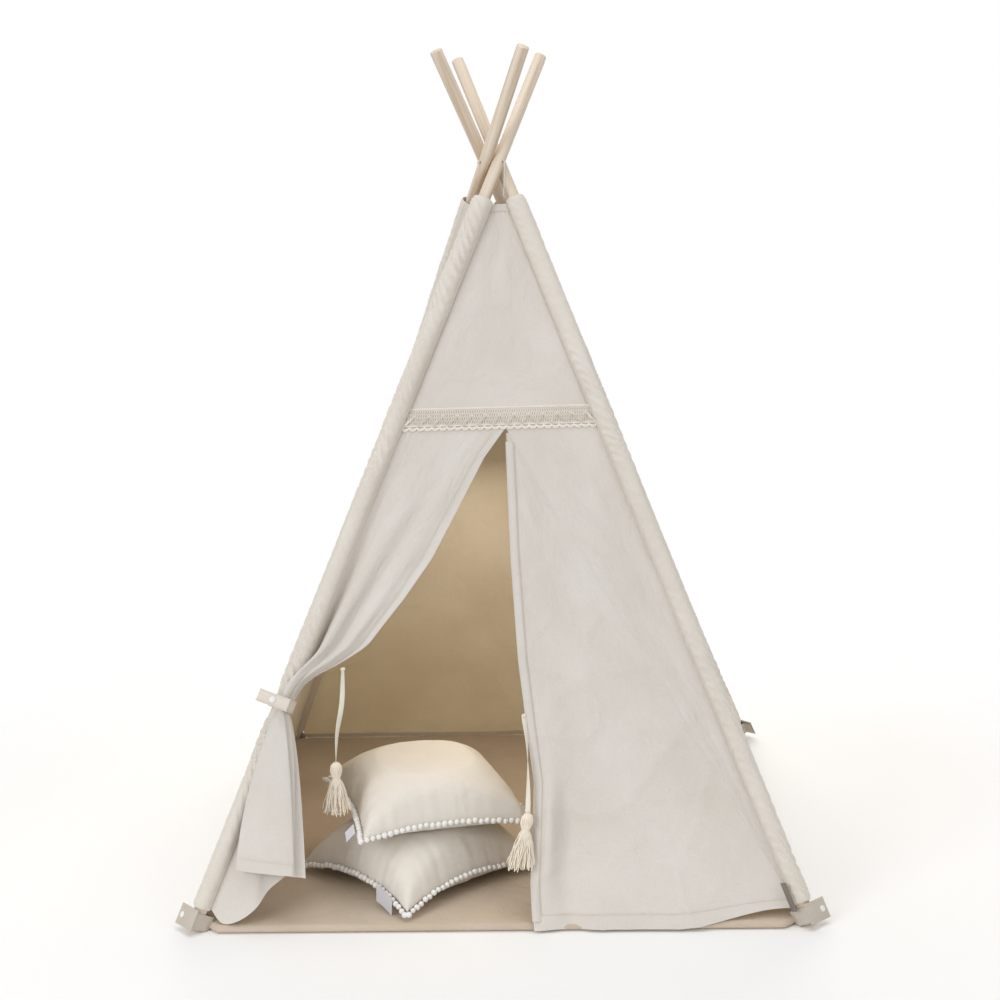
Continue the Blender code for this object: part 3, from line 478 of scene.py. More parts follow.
def lathe(name, rings, across, aside, sides, mat):
    """A turned solid from rings of (centre, radius); a radius of 0 is a point."""
    bm = bmesh.new()
    loops = []
    for centre, radius in rings:
        loops.append([
            bm.verts.new(centre + (across * math.cos(a) + aside * math.sin(a)) * radius)
            for a in turns_of(sides if radius else 1)
        ])
    for one, two in zip(loops, loops[1:]):
        for side in range(sides):
            ring = [one[side % len(one)], one[(side + 1) % len(one)],
                    two[(side + 1) % len(two)], two[side % len(two)]]
            bm.faces.new(list(dict.fromkeys(ring)))
    if len(loops[-1]) > 1:
        bm.faces.new(loops[-1])
    bmesh.ops.recalc_face_normals(bm, faces=bm.faces)
    return built(name, bm, mat)


def round_outline(radius, sides, lobes=0, depth=0.0):
    return [spoke(angle, radius * (1 - depth + depth * math.cos(lobes * angle))).xy
            for angle in turns_of(sides)]


def strap_outline(width, thickness):
    """A flat strap's section with rounded edges."""
    half = width / 2 - thickness / 2
    return [spoke(math.radians(start + 60 * step), thickness / 2).xy + Vector((centre, 0))
            for centre, start in ((half, -90), (-half, 90)) for step in range(4)]


# Geometry Nodes: stitches, strands and pompoms

def start_tree(name, **inputs):
    """A tree with named inputs, and the sockets they come in by."""
    tree = bpy.data.node_groups.new(name, "GeometryNodeTree")
    add = tree.interface.new_socket
    add("Geometry", in_out="INPUT", socket_type="NodeSocketGeometry")
    for key, kind in inputs.items():
        add(key.replace("_", " "), in_out="INPUT", socket_type="NodeSocket" + kind)
    add("Geometry", in_out="OUTPUT", socket_type="NodeSocketGeometry")
    return tree, put(tree, "NodeGroupInput").outputs


def end_tree(tree, shape, mat, offset=None):
    """Gives real geometry, moved by an offset if there is one, in one material."""
    shape = put(tree, "GeometryNodeRealizeInstances", {"Geometry": shape})
    if offset:
        shape = put(tree, "GeometryNodeSetPosition", {"Geometry": shape, "Offset": offset})
    dyed = put(tree, "GeometryNodeSetMaterial", {"Geometry": shape, "Material": mat})
    put(tree, "NodeGroupOutput", {"Geometry": dyed})
    return tree


def stitch_tree():
    """Short thread capsules laid end to end along every path of a wire mesh."""
    tree, given = start_tree("sewn stitches", Stitch_pitch="Float", Thread_radius="Float",
                             Stitch_length="Float", Thread="Material")
    path = put(tree, "GeometryNodeMeshToCurve", {"Mesh": given["Geometry"]})
    even = put(tree, "GeometryNodeResampleCurve",
               {"Curve": path, "Length": given["Stitch pitch"]}, mode="LENGTH")
    tangent = put(tree, "GeometryNodeInputTangent")
    facing = put(tree, "FunctionNodeAlignEulerToVector", {"Vector": tangent}, axis="Z")
    radius = given["Thread radius"]
    capsule = put(tree, "GeometryNodeMeshCone", {
        "Vertices": 5, "Radius Top": radius, "Radius Bottom": radius,
        "Depth": given["Stitch length"],
    })
    laid = put(tree, "GeometryNodeInstanceOnPoints",
               {"Points": even, "Instance": capsule, "Rotation": facing})
    return end_tree(tree, laid, given["Thread"])


def strand_tree():
    """A round yarn swept along every path of a wire mesh."""
    tree, given = start_tree("yarn strands", Yarn_radius="Float", Yarn_sides="Int",
                             Yarn="Material")
    path = put(tree, "GeometryNodeMeshToCurve", {"Mesh": given["Geometry"]})
    section = put(tree, "GeometryNodeCurvePrimitiveCircle",
                  {"Resolution": given["Yarn sides"], "Radius": given["Yarn radius"]})
    yarned = put(tree, "GeometryNodeCurveToMesh",
                 {"Curve": path, "Profile Curve": section, "Fill Caps": True})
    return end_tree(tree, yarned, given["Yarn"])


def pompom_tree():
    """A fuzzy ball on every point of a wire mesh, each turned and sized by a fixed seed."""
    tree, given = start_tree("pompom row", Pompom_radius="Float", Fuzz="Float", Seed="Int",
                             Yarn="Material")
    ball = put(tree, "GeometryNodeMeshIcoSphere",
               {"Radius": given["Pompom radius"], "Subdivisions": 3})
    tilt = put(tree, "FunctionNodeRandomValue",
               {"Min": (0, 0, 0), "Max": (6.28, 6.28, 6.28), "Seed": given["Seed"]},
               data_type="FLOAT_VECTOR")
    size = put(tree, "FunctionNodeRandomValue", {2: 0.88, 3: 1.08, "Seed": given["Seed"]},
               data_type="FLOAT")
    laid = put(tree, "GeometryNodeInstanceOnPoints", {
        "Points": given["Geometry"], "Instance": ball, "Rotation": tilt,
        "Scale": size.outputs[1],
    })
    fuzz = put(tree, "ShaderNodeTexNoise", {"Scale": 520.0, "Detail": 1.0})
    reach = put(tree, "ShaderNodeMath", {0: fuzz, 1: given["Fuzz"]}, operation="MULTIPLY")
    shift = put(tree, "ShaderNodeVectorMath",
                {0: put(tree, "GeometryNodeInputNormal"), "Scale": reach}, operation="SCALE")
    return end_tree(tree, laid, given["Yarn"], shift)


STITCHES = stitch_tree()
STRANDS = strand_tree()
POMPOMS = pompom_tree()


def grown(name, paths, tree, settings):
    """Runs a tree on a wire mesh of paths and keeps the plain mesh that it gives."""
    verts, edges = [], []
    for path in paths:
        base = len(verts)
        verts += [tuple(point) for point in path]
        edges += [(base + at, base + at + 1) for at in range(len(path) - 1)]
    mesh = bpy.data.meshes.new(name)
    mesh.from_pydata(verts, edges, [])
    item = link(name, mesh)
    grow = item.modifiers.new("grow", "NODES")
    grow.node_group = tree
    known = {part.name: part.identifier for part in tree.interface.items_tree
             if part.in_out == "INPUT"}
    for key, value in settings.items():
        grow[known[key]] = value
    plain(item)
    return item


def sew(name, paths, pitch=0.0042):
    """A row of lockstitches along each path."""
    return grown(name, paths, STITCHES, {
        "Stitch pitch": pitch, "Thread radius": 0.00042, "Stitch length": pitch * 0.72,
        "Thread": THREAD,
    })


def strands(name, paths, radius, sides, mat):
    return grown(name, paths, STRANDS, {"Yarn radius": radius, "Yarn sides": sides, "Yarn": mat})


def join(name, items):
    """Several meshes of one body made one, with their materials kept."""
    bm = bmesh.new()
    mats = []
    for item in items:
        start = len(bm.faces)
        bm.from_mesh(item.data)
        bm.faces.ensure_lookup_table()
        for face in bm.faces[start:]:
            mat = item.data.materials[face.material_index]
            if mat not in mats:
                mats.append(mat)
            face.material_index = mats.index(mat)
        bpy.data.objects.remove(item)
    result = built(name, bm)
    for mat in mats:
        result.data.materials.append(mat)
    return result


# Cloth panels of the cover

def crumple(item, normal):
    """Gives the piece its own copy of its mesh."""
    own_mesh(item)


def panel(name, cloth, extra, node, body, normal):
    """A cloth joined with its hems and stitches, in place of its solid and on its body, with its
    own mesh.
    """
    item = join(name, [cloth] + extra) if extra else cloth
    own(item, node, body)
    crumple(item, normal)


def panel_lift(share, height, width, low, seed):
    """How far a taut wall stands off its plane: a slight belly, creases near its seams."""
    level = min(max((height - low) / (COVER_TOP - low), 0), 1)
    bow = math.sin(math.pi * share)
    x = (share - 0.5) * width
    near = math.exp(-min(share, 1 - share) * width / 0.07)
    drawn = 0.0016 * near * ripple(x * 9, height * 34 + x * 30, seed + 7)
    lift = 0.010 * bow * math.sin(math.pi * level)
    lift += 0.0030 * ripple(x * 4.0, height * 1.6, seed) * bow
    lift += drawn * math.sin(math.pi * min(share * 6, (1 - share) * 6, 0.5))
    return lift + 0.0012 * crease(x * 5.5, height * 5.5, seed + 3) * bow


def rows_path(surface, fixed, runs, lift, along_u):
    """Points on a surface along one share, lifted off it by its own normal."""
    path = []
    for run in runs:
        u, v = (run, fixed) if along_u else (fixed, run)
        here = surface(u, v)
        side = surface(min(u + 0.002, 1), v) - surface(max(u - 0.002, 0), v)
        down = surface(u, min(v + 0.002, 1)) - surface(u, max(v - 0.002, 0))
        path.append(here + side.cross(down).normalized() * lift)
    return path


def strip_on(name, surface, us, vs, flat, mat=FRONT_CANVAS, lift=-HEM_LIFT):
    """A second layer of cloth on a panel: a hem or a folded edge."""

    def lifted(u, v):
        return rows_path(surface, v, [u], lift, True)[0]

    return cloth_grid(name, us, vs, lifted, flat, mat, HEM_THICK)


def wall(name, place, other, node, seed):
    """A wall from its two sleeve seams, with a stitched top hem, bottom hem and seams."""
    first, second = POLES[place], POLES[other]
    across, normal = wall_frame(first, second, 0.6)[2:]
    outward = 1 if normal.cross(across).z > 0 else -1

    def surface(u, v):
        near_pole = max(0, 1 - min(u, 1 - u) / 0.004)
        low = WALL_LOW + (SLEEVE_LOW - WALL_LOW) * near_pole
        height = COVER_TOP + (low - COVER_TOP) * v
        wide = (second.at(height) - first.at(height)).length
        return wall_point(first, second, u, height, panel_lift(u, height, wide, low, seed))

    width = (second.at(0.05) - first.at(0.05)).length
    length = COVER_TOP / first.up.z
    flat = (width, length)
    us = [0, 0.004] + steps(72)[1:-1] + [0.996, 1]
    low_hem = 0.014 / length
    hem, stitch, seam = HEM_LIFT * outward, HEM_STITCH_LIFT * outward, SEAM_LIFT * outward
    down = steps(340, 0.005, 0.96)
    panel(name, cloth_grid(name, us, steps(88), surface, flat, CANVAS, CLOTH_THICK), [
        strip_on(name + "_hem", surface, us, steps(3, 1 - low_hem, 1.0), flat, CANVAS, hem),
        strip_on(name + "_top", surface, steps(24), steps(2, 0.0, TOP_HEM / length), flat,
                 CANVAS, hem),
        sew(name + "_sewn", [
            rows_path(surface, 0.008, down, seam, False),
            rows_path(surface, 0.992, down, seam, False),
            rows_path(surface, 1 - low_hem * 0.90, steps(150, 0.02, 0.98), stitch, True),
            rows_path(surface, TOP_STITCH / length, steps(30), stitch, True),
        ]),
    ], node, place + "_leg", normal)


wall("back_canvas", "back_right", "back_left", "back_wall", 11.0)
wall("left_canvas", "back_left", "front_left", "left_wall", 23.0)
wall("right_canvas", "front_right", "back_right", "right_wall", 37.0)


def front_canvas():
    """The front over the door: taut, with one soft crease from the middle of its top."""
    first, second = FRONT

    def surface(u, v):
        height = COVER_TOP + (SLIT_TOP - COVER_TOP) * v
        start, end = wall_frame(first, second, height)[:2]
        x = start.x + (end.x - start.x) * u
        ridge = 0.0045 * math.exp(-((x + 0.012 + 0.05 * v) / 0.022) ** 2) * (1 - v) ** 1.2
        second_ridge = 0.0028 * math.exp(-((x - 0.03) / 0.02) ** 2) * (1 - v) ** 2
        soft = 0.0018 * ripple(x * 9, height * 3, 5.0)
        stars = 0.0008 * crease(x * 8, height * 7, 9.0)
        held = math.sin(math.pi * u) * min(1, (1 - v) * 5)
        return wall_point(
            first, second, u, height, (ridge + second_ridge + soft + stars) * held
        )

    width = (second.at(SLIT_TOP) - first.at(SLIT_TOP)).length
    length = (COVER_TOP - SLIT_TOP) / first.up.z
    flat = (width, length)
    cloth = cloth_grid("front_canvas", steps(70), steps(64), surface, flat, FRONT_CANVAS,
                       CLOTH_THICK)
    panel("front_canvas", cloth, [
        strip_on("front_top", surface, steps(40), steps(2, 0.0, TOP_HEM / length), flat),
        sew("front_sewn", [
            rows_path(surface, TOP_STITCH / length, steps(40), -HEM_STITCH_LIFT, True),
            rows_path(surface, 0.010, steps(110), -SEAM_LIFT, False),
            rows_path(surface, 0.990, steps(110), -SEAM_LIFT, False),
        ]),
    ], "front_upper_wall", "front_left_leg", wall_frame(first, second, 1.0)[3])


front_canvas()


# The right front: a fixed part above the fold and the door flap below it

def line_through(table, value):
    """A value on the straight lines between rows of (position, value)."""
    for (low, a), (high, b) in zip(table, table[1:]):
        if value <= high:
            break
    return a + (b - a) * min(max((value - low) / (high - low), 0), 1)


# The right flap's free edge: height and x
RIGHT_EDGE = (
    (0.0, 0.0640), (0.079, 0.0610), (0.160, 0.0660), (0.249, 0.0700), (0.337, 0.0590),
    (0.468, 0.0430), (0.650, 0.0310), (0.898, 0.0225),
)


def right_surface(x, height):
    """The hanging right front: soft creases from the lace, a fold by the edge, a kicked hem."""
    first, second = FRONT
    start, end, across, normal = wall_frame(first, second, max(height, 0.03))
    edge = line_through(RIGHT_EDGE, height)
    share = (x - start.x) / (end.x - start.x)
    inside = min(max((end.x - x) / 0.06, 0), 1)
    drop = (SLIT_TOP - height) / SLIT_TOP
    free = smoothstep(0.0, 0.5, drop) * inside
    beside = x - edge
    fold = math.exp(-((beside - 0.030) / 0.019) ** 2)
    crescent = 0.023 * fold * math.sin(math.pi * smoothstep(0.62, 1.0, drop)) ** 1.2
    dip = -0.010 * math.exp(-((beside - 0.070) / 0.030) ** 2) * smoothstep(0.6, 0.9, drop)
    fan = 0.0046 * ripple((x - 0.05) / (0.25 + drop) * 2.6, height * 1.1, 4.0)
    stars = 0.0026 * crease(x * 5.2, height * 5.2, 6.0) + 0.0016 * crease(x * 9, height * 9, 2.0)
    foot = smoothstep(0.20, 0.0, height)
    kick = 0.019 * foot * min(1, max(0, (0.50 - x) / 0.14))
    waves = 0.004 * foot * ripple(x * 7, 0.3, 8.0)
    lift = (crescent + dip + fan + stars + waves) * free + kick * inside
    base = wall_point(first, second, share, max(height, 0.0), lift)
    base.z = height + (lift * normal.z if height > 0.05 else lift * normal.z * height / 0.05)
    return base


def fold_x(height):
    """Where the fold between the fixed part and the flap lies."""
    top_x = line_through(RIGHT_EDGE, SLIT_TOP) + 0.001
    foot = wall_point(*FRONT, 1, SLEEVE_BOTTOM)
    share = (SLIT_TOP - height) / (SLIT_TOP - foot.z)
    return top_x + (foot.x - top_x) * min(max(share, 0), 1.0)


def right_front():
    first, second = FRONT
    seam_low = wall_point(first, second, 1, SLEEVE_BOTTOM)
    normal = wall_frame(first, second, 0.45)[3]

    def fixed(u, v):
        height = SLIT_TOP + (SLEEVE_BOTTOM - SLIT_TOP) * v * 0.995
        high = wall_point(first, second, 1, height)
        return right_surface(fold_x(height) + (high.x - fold_x(height)) * u, height)

    cloth = cloth_grid("right_front_canvas", steps(44), steps(90), fixed, (0.40, 0.92),
                       FRONT_CANVAS, CLOTH_THICK)
    panel("right_front_canvas", cloth, [], "front_right_wall", "front_right_leg", normal)

    def flap_height(v):
        return SLIT_TOP + (0.004 - SLIT_TOP) * (0.008 + 0.992 * v)

    def flap(u, v):
        height = flap_height(v)
        edge = line_through(RIGHT_EDGE, height)
        limit = fold_x(height) if height > SLEEVE_BOTTOM else seam_low.x + 0.004 * (
            1 - height / SLEEVE_BOTTOM)
        hem_rise = 0.028 * smoothstep(0.60, 1.0, u) * smoothstep(0.93, 1.0, v)
        return right_surface(edge + (limit - edge) * u ** 1.25, height + hem_rise)

    def edge_band(u, v):
        height = flap_height(v)
        edge = line_through(RIGHT_EDGE, height)
        wide = min(0.017, max(fold_x(height) - edge, 0.001))
        roll = 0.0042 * math.sin(math.pi * u) ** 0.6
        return right_surface(edge - 0.002 + wide * u, height) + normal * (roll + 0.0006)

    name = "door_flap_right_canvas"
    flat = (0.50, 0.95)
    panel(name, cloth_grid(name, steps(90), steps(130), flap, flat, FRONT_CANVAS, CLOTH_THICK), [
        cloth_grid("edge_band", steps(10), steps(120, 0.02, 0.985), edge_band, (0.017, 0.9),
                   FRONT_CANVAS, HEM_THICK),
        strip_on("flap_hem", flap, steps(80), steps(3, 0.974, 1.0), flat),
        sew("flap_sewn", [
            rows_path(flap, 0.975, steps(130), -HEM_STITCH_LIFT, True),
            [edge_band(0.93, v) + normal * 0.0012 for v in steps(220, 0.03, 0.97)],
        ]),
    ], "door_flap_right", "right_flap", normal)


right_front()


# The left door flap, drawn to the strap and fanned out below it

# Its free edge: height and x
LEFT_EDGE = (
    (0.402, -0.400), (0.410, -0.384), (0.424, -0.358), (0.438, -0.334), (0.452, -0.300),
    (0.466, -0.276), (0.520, -0.232), (0.583, -0.179), (0.656, -0.125), (0.750, -0.073),
    (0.844, -0.022), (0.898, 0.0195),
)

# Across the cloth: its share from the seam, way and lift in the strap, way, lift and height
# at the hem, and how late it spreads
TAIL_SECTION = (
    (0.00, 0.0178, 0.0000, 0.0168, 0.0000, 0.0400, 1.0),
    (0.05, 0.0182, 0.0020, 0.0480, 0.0050, 0.0170, 1.3),
    (0.09, 0.0184, 0.0050, 0.0760, 0.0150, 0.0240, 1.6),
    (0.12, 0.0186, 0.0080, 0.0990, 0.0190, 0.0460, 1.8),
    (0.16, 0.0186, 0.0110, 0.1080, 0.0090, 0.0740, 1.8),
    (0.21, 0.0176, 0.0150, 0.1290, 0.0120, 0.1050, 1.5),
    (0.28, 0.0100, 0.0240, 0.0850, 0.0210, 0.1120, 2.0),
    (0.33, 0.0020, 0.0310, 0.0440, 0.0260, 0.1160, 2.4),
    (0.37, -0.0020, 0.0360, 0.0450, 0.0330, 0.1170, 2.4),
    (0.45, 0.0000, 0.0405, 0.0850, 0.0370, 0.1130, 1.4),
    (0.53, 0.0050, 0.0415, 0.1180, 0.0360, 0.1090, 1.1),
    (0.60, 0.0105, 0.0395, 0.1440, 0.0310, 0.1050, 0.90),
    (0.63, 0.0130, 0.0360, 0.1430, 0.0270, 0.1050, 0.90),
    (0.68, 0.0115, 0.0310, 0.1290, 0.0230, 0.1060, 0.92),
    (0.74, 0.0175, 0.0265, 0.1420, 0.0200, 0.1020, 0.78),
    (0.80, 0.0155, 0.0210, 0.1380, 0.0160, 0.0990, 0.85),
    (0.90, 0.0196, 0.0160, 0.1560, 0.0130, 0.0960, 0.85),
    (1.00, 0.0202, 0.0080, 0.1660, 0.0140, 0.0950, 0.85),
)

# How the drawn-up cloth lies above the strap: share, lift as a share of the full fold
FOLD_SECTION = (
    (0.00, 0.00), (0.06, -0.45), (0.13, -0.62), (0.20, -0.10), (0.27, 0.60), (0.36, 1.00),
    (0.46, 0.95), (0.56, 0.50), (0.63, 0.30), (0.72, 0.62), (0.80, 0.72), (0.88, 0.40),
    (0.94, 0.25), (1.00, 0.45),
)


def spline_through(table, value):
    """Values on a smooth curve through rows whose first entry is the position."""
    spots = [row[0] for row in table]
    index = 0
    while index < len(spots) - 2 and value > spots[index + 1]:
        index += 1
    rows = [table[min(max(index + at, 0), len(table) - 1)][1:] for at in (-1, 0, 1, 2)]
    t = min(max((value - spots[index]) / (spots[index + 1] - spots[index]), 0), 1)
    return [between(*four, t) for four in zip(*rows)]


STRAP_TOP = TIE_HEIGHT + 0.012
STRAP_LOW = TIE_HEIGHT - 0.012


def left_flap_point(u, v):
    first, second = FRONT
    normal = wall_frame(first, second, TIE_HEIGHT)[3]
    across = wall_frame(first, second, TIE_HEIGHT)[2]
    square = (across - first.up * across.dot(first.up)).normalized()
    tied_way, tied_lift, hem_way, hem_lift, bottom, late = spline_through(TAIL_SECTION, u)
    if v <= 0.60:
        level = (1 - v / 0.60) ** 1.25
        height = STRAP_TOP + (SLIT_TOP - STRAP_TOP) * level
        start, end = wall_frame(first, second, height)[:2]
        edge = line_through(LEFT_EDGE, height)
        straight = LEFT_EDGE[1][1] + (LEFT_EDGE[-1][1] - LEFT_EDGE[1][1]) * level
        x = start.x + (straight - start.x) * u + (edge - straight) * u ** 2.6
        fold = spline_through(FOLD_SECTION, u)[0]
        swell = 0.034 * (1 - level) ** 1.2 * smoothstep(0.0, 0.25, level + 0.12)
        fine = 0.0016 * ripple(u * 9, v * 2.0, 3.0) * math.sin(math.pi * min(1, v * 1.6))
        lift = (fold * swell + fine) * smoothstep(0.0, 0.03, v)
        spread = wall_point(first, second, (x - start.x) / (end.x - start.x), height, lift)
        bundle = first.at(height) + square * tied_way + normal * tied_lift
        return bundle.lerp(spread, smoothstep(0.0, 0.20, level))
    if v <= 0.64:
        share = (v - 0.60) / 0.04
        height = STRAP_TOP + (STRAP_LOW - STRAP_TOP) * share
        return first.at(height) + square * tied_way + normal * tied_lift
    level = (v - 0.64) / 0.36
    bottom -= square.z * hem_way + normal.z * hem_lift
    height = STRAP_LOW + (bottom - STRAP_LOW) * level
    way = tied_way + (hem_way - tied_way) * level ** max(late, 0.5)
    lift = tied_lift + (hem_lift - tied_lift) * level ** 0.8
    lift += 0.0014 * ripple(u * 12, level * 3, 12.0) * level * min(1, u * 10)
    return first.at(height) + square * way + normal * lift


def left_flap():
    name = "door_flap_left_canvas"
    flat = (0.50, 0.92)
    vs = steps(90, 0, 0.60) + steps(5, 0.60, 0.64)[1:] + steps(80, 0.64, 1.0)[1:]
    cloth = cloth_grid(name, steps(150), vs, left_flap_point, flat, FRONT_CANVAS, HEM_THICK)
    panel(name, cloth, [
        strip_on("left_edge_band", left_flap_point, steps(10, 0.90, 1.0), vs[:88], flat),
        strip_on("left_foot_hem", left_flap_point, steps(110, 0.37, 0.60),
                 steps(3, 0.972, 1.0), flat),
        sew("left_sewn", [
            rows_path(left_flap_point, 0.907, vs[1:86], -HEM_STITCH_LIFT, False),
            rows_path(left_flap_point, 0.975, steps(60, 0.38, 0.59), -HEM_STITCH_LIFT, True),
        ]),
    ], "door_flap_left", "front_left_leg", wall_frame(*FRONT, 0.5)[3])


left_flap()


# Sleeves: pockets round the poles, gathered along their length

def sleeve(place, pole, gather, seed):
    """Diagonal gathers where the cloth is eased on to the pole, and a seam on either side."""
    bottom = SLEEVE_LOW / pole.up.z
    top = (COVER_TOP + SLEEVE_RISE) / pole.up.z
    length = top - bottom

    def around(distance, angle, reach):
        way = pole.out * math.cos(angle) + pole.lateral * math.sin(angle)
        return pole.foot + pole.up * distance + way * reach

    def surface(u, v):
        distance = bottom + length * v
        angle = 2 * math.pi * u
        base = sleeve_radius(distance * pole.up.z)
        facing = smoothstep(-0.45, 0.35, math.cos(angle))
        wrap = math.sin(angle)
        slope = 4.2 * wrap + 1.5 * ripple(distance * 4, 5.0, seed)
        phase = distance * 84 + slope + 1.3 * ripple(distance * 12, wrap, seed)
        folds = 1 - abs(math.sin(phase * math.pi / 2)) ** 0.8 * 2
        broad = ripple(distance * 24 + wrap * 1.2, wrap, seed + 2)
        calm = 0.20 + 0.80 * smoothstep(-0.30, 0.30, ripple(distance * 3.2, 1.0, seed + 9))
        swell = facing * (0.0017 + gather * (folds * 0.62 + broad * 0.6) * calm)
        swell *= smoothstep(0.0, 0.006, min(v, 1 - v))
        if pole is FRONT[0]:
            swell *= smoothstep(0.014, 0.040, abs(distance * pole.up.z - TIE_HEIGHT))
        return around(distance, angle, max(base + swell, POLE_RADIUS + CLEAR * 3))

    name = "sleeve_" + place
    cloth = cloth_grid(name, steps(40), steps(760), surface, (2 * math.pi * 0.018, length),
                       SLEEVE_CANVAS, HEM_THICK, flip=True)
    seams = []
    for angle in (-math.radians(100), math.radians(100)):
        downs = [bottom + length * v for v in steps(300, 0.004, 0.996)]
        seams.append([around(at, angle, sleeve_radius(at * pole.up.z) + 0.0014) for at in downs])
    item = join(name, [cloth, sew("seam_" + place, seams)])
    own(item, name, place + "_leg")


for number, (place, pole) in enumerate(POLES.items()):
    sleeve(place, pole, 0.0036 if place == "front_left" else 0.0021, 3 + number)


# Poles

def wooden_pole(place, pole):
    """A turned pine pole with eased ends, drilled for the cord."""
    low = POLE_RADIUS * math.tan(math.atan2(FOOT_HALF * math.sqrt(2), LASH_HEIGHT))
    eased = [(0.0, 0.0), (0.0105, 0.0), (0.0122, 0.0006), (0.0130, 0.0022)]
    profile = eased + [(0.0130, POLE_LENGTH * share) for share in steps(24, 0.02, 0.98)]
    profile += [(radius, POLE_LENGTH - height) for radius, height in reversed(eased)]
    rings = [(pole.foot + pole.up * (low + height), radius) for radius, height in profile]
    item = lathe("wooden_pole_" + place, rings, pole.out, pole.lateral, 48,
                 turned_pine("turned_pine_" + place, pole))
    bpy.ops.mesh.primitive_cylinder_add(vertices=24, radius=0.0026, depth=0.034)
    cutter = bpy.context.object
    cutter.matrix_world = Matrix.Translation(pole.crossing) @ Matrix((
        pole.up, pole.lateral.cross(pole.up), pole.lateral
    )).transposed().to_4x4()
    hole = item.modifiers.new("cord hole", "BOOLEAN")
    hole.object = cutter
    bpy.context.view_layer.update()
    plain(item).set_sharp_from_angle(angle=math.radians(40))
    bpy.data.objects.remove(cutter)
    own(item, "pole_" + place, place + "_leg")


for place, pole in POLES.items():
    wooden_pole(place, pole)


# The lashing cord

LASHING_ROUTE = (
    (0.0400, 223.6, -0.0008), (0.0370, 223.6, -0.0008), (0.0340, 223.6, -0.0008),
    (0.0070, 223.6, -0.0008), (0, 43.6, -0.0017), (0.0070, 43.6, -0.0008),
    (0.0350, 43.6, -0.0008), (0.0415, 47, 0), (0.0440, 64, 0.0005), (0.0430, 88.6, 0.0006),
    (0.0440, 113, 0.0005), (0.0415, 130, 0.0006), (0.0350, 133.6, 0.0008),
    (0.0070, 133.6, 0.0008), (0, 313.6, 0.0017), (0.0070, 313.6, 0.0008),
    (0.0350, 313.6, 0.0008), (0.0395, 312.8, -0.0012), (0.0415, 310, -0.0120),
    (0.0410, 308, -0.0400), (0.0400, 306, -0.0720),
)


def lashing():
    """A three-ply cord through the poles, with a stopper knot and a hanging tail."""
    route = [spoke(math.radians(angle), distance, LASH_HEIGHT + rise)
             for distance, angle, rise in LASHING_ROUTE]
    points = smooth_route(route, 0.0012)
    twist = 2 * math.pi / 0.009
    cord = sweep("lashing_cord_twisted", points, round_outline(0.00125, 18, 3, 0.10), CORD_YARN,
                 twist=twist)
    middle = route[1] + (route[0] - route[1]) * 0.3
    way = (route[0] - route[1]).normalized()
    side = way.cross(Vector((0, 0, 1))).normalized()
    rise = way.cross(side)
    knot = []
    for angle in turns_of(70):
        reach = 0.0016 + 0.0008 * math.cos(3 * angle)
        knot.append(
            middle + way * (0.0016 * math.sin(3 * angle))
            + side * (reach * math.cos(2 * angle)) + rise * (reach * math.sin(2 * angle))
        )
    knot_piece = sweep("knot", knot, round_outline(0.0011, 12, 3, 0.10), CORD_YARN, twist=twist)
    item = join("lashing_cord_twisted", [cord, knot_piece])
    own(item, "lashing_cord", "hub")


lashing()


# The lace band over the door

def lace():
    """Crochet: a fine diamond net, a zigzag of trebles and a scalloped edge."""
    scallops, cells = 26, 78
    low, top, peak = 0.0085, 0.0430, 0.0290

    def on_wall(share, height, lift=0.0):
        return wall_point(*FRONT, share, SLIT_TOP + height, 0.0024 + lift)

    paths = []
    for slant in (1, -1):
        for start in range(-4, cells + 5):
            path = []
            for step in range(9):
                share = (start + slant * step * 0.32) / cells
                if 0 <= share <= 1:
                    lift = 0.0004 * (-1) ** (step + (slant > 0))
                    path.append(on_wall(share, low + (top - low) * step / 8, lift))
            if len(path) > 1:
                paths.append(path)
    for height in (top, top - 0.0016, low, low + 0.0014):
        paths.append([on_wall(share, height, 0.0004) for share in steps(200)])
    bold = []
    for shift in (0.0, 0.24):
        bold.append([
            on_wall(min((index + shift) / scallops, 1), peak if index % 2 else low + 0.0015,
                    0.0022)
            for index in range(scallops + 1)
        ])
    for reach in (0.0080, 0.0050):
        bold.append([
            on_wall((index + 0.5 - math.cos(angle) * 0.5) / scallops,
                    low - math.sin(angle) * reach, 0.0002)
            for index in range(scallops) for angle in steps(8, 0, math.pi)
        ])
    dots = [[on_wall((index + 0.5) / scallops + aside, low - 0.0085) for aside in (0, 0.0002)]
            for index in range(scallops)]
    item = join("lace_crochet", [
        strands("lace_net", paths, 0.00075, 6, LACE_YARN),
        strands("lace_bold", bold, 0.00135, 6, LACE_YARN),
        grown("lace_picots", dots, POMPOMS, {
            "Pompom radius": 0.0013, "Fuzz": 0.0, "Seed": 4, "Yarn": LACE_YARN,
        }),
    ])
    own(item, "lace_band", "front_left_leg")
    crumple(item, wall_frame(*FRONT, SLIT_TOP)[3])


lace()


# Straps and snaps

CAP_PROFILE = (
    (0.0, 1.0), (0.30, 0.985), (0.52, 0.93), (0.66, 0.84), (0.74, 0.80), (0.84, 0.78),
    (0.94, 0.66), (1.0, 0.42), (1.0, 0.14), (0.96, 0.0),
)


def snap(name, base, out_way, along_way, size, body, node):
    """A domed snap cap or stud with a rounded rim and a dished ring."""
    radius, height = size
    rings = [(base + out_way * (height * up), radius * out) for out, up in CAP_PROFILE]
    item = lathe(name, rings, along_way, out_way.cross(along_way), 40, SNAP)
    own(item, node, body)


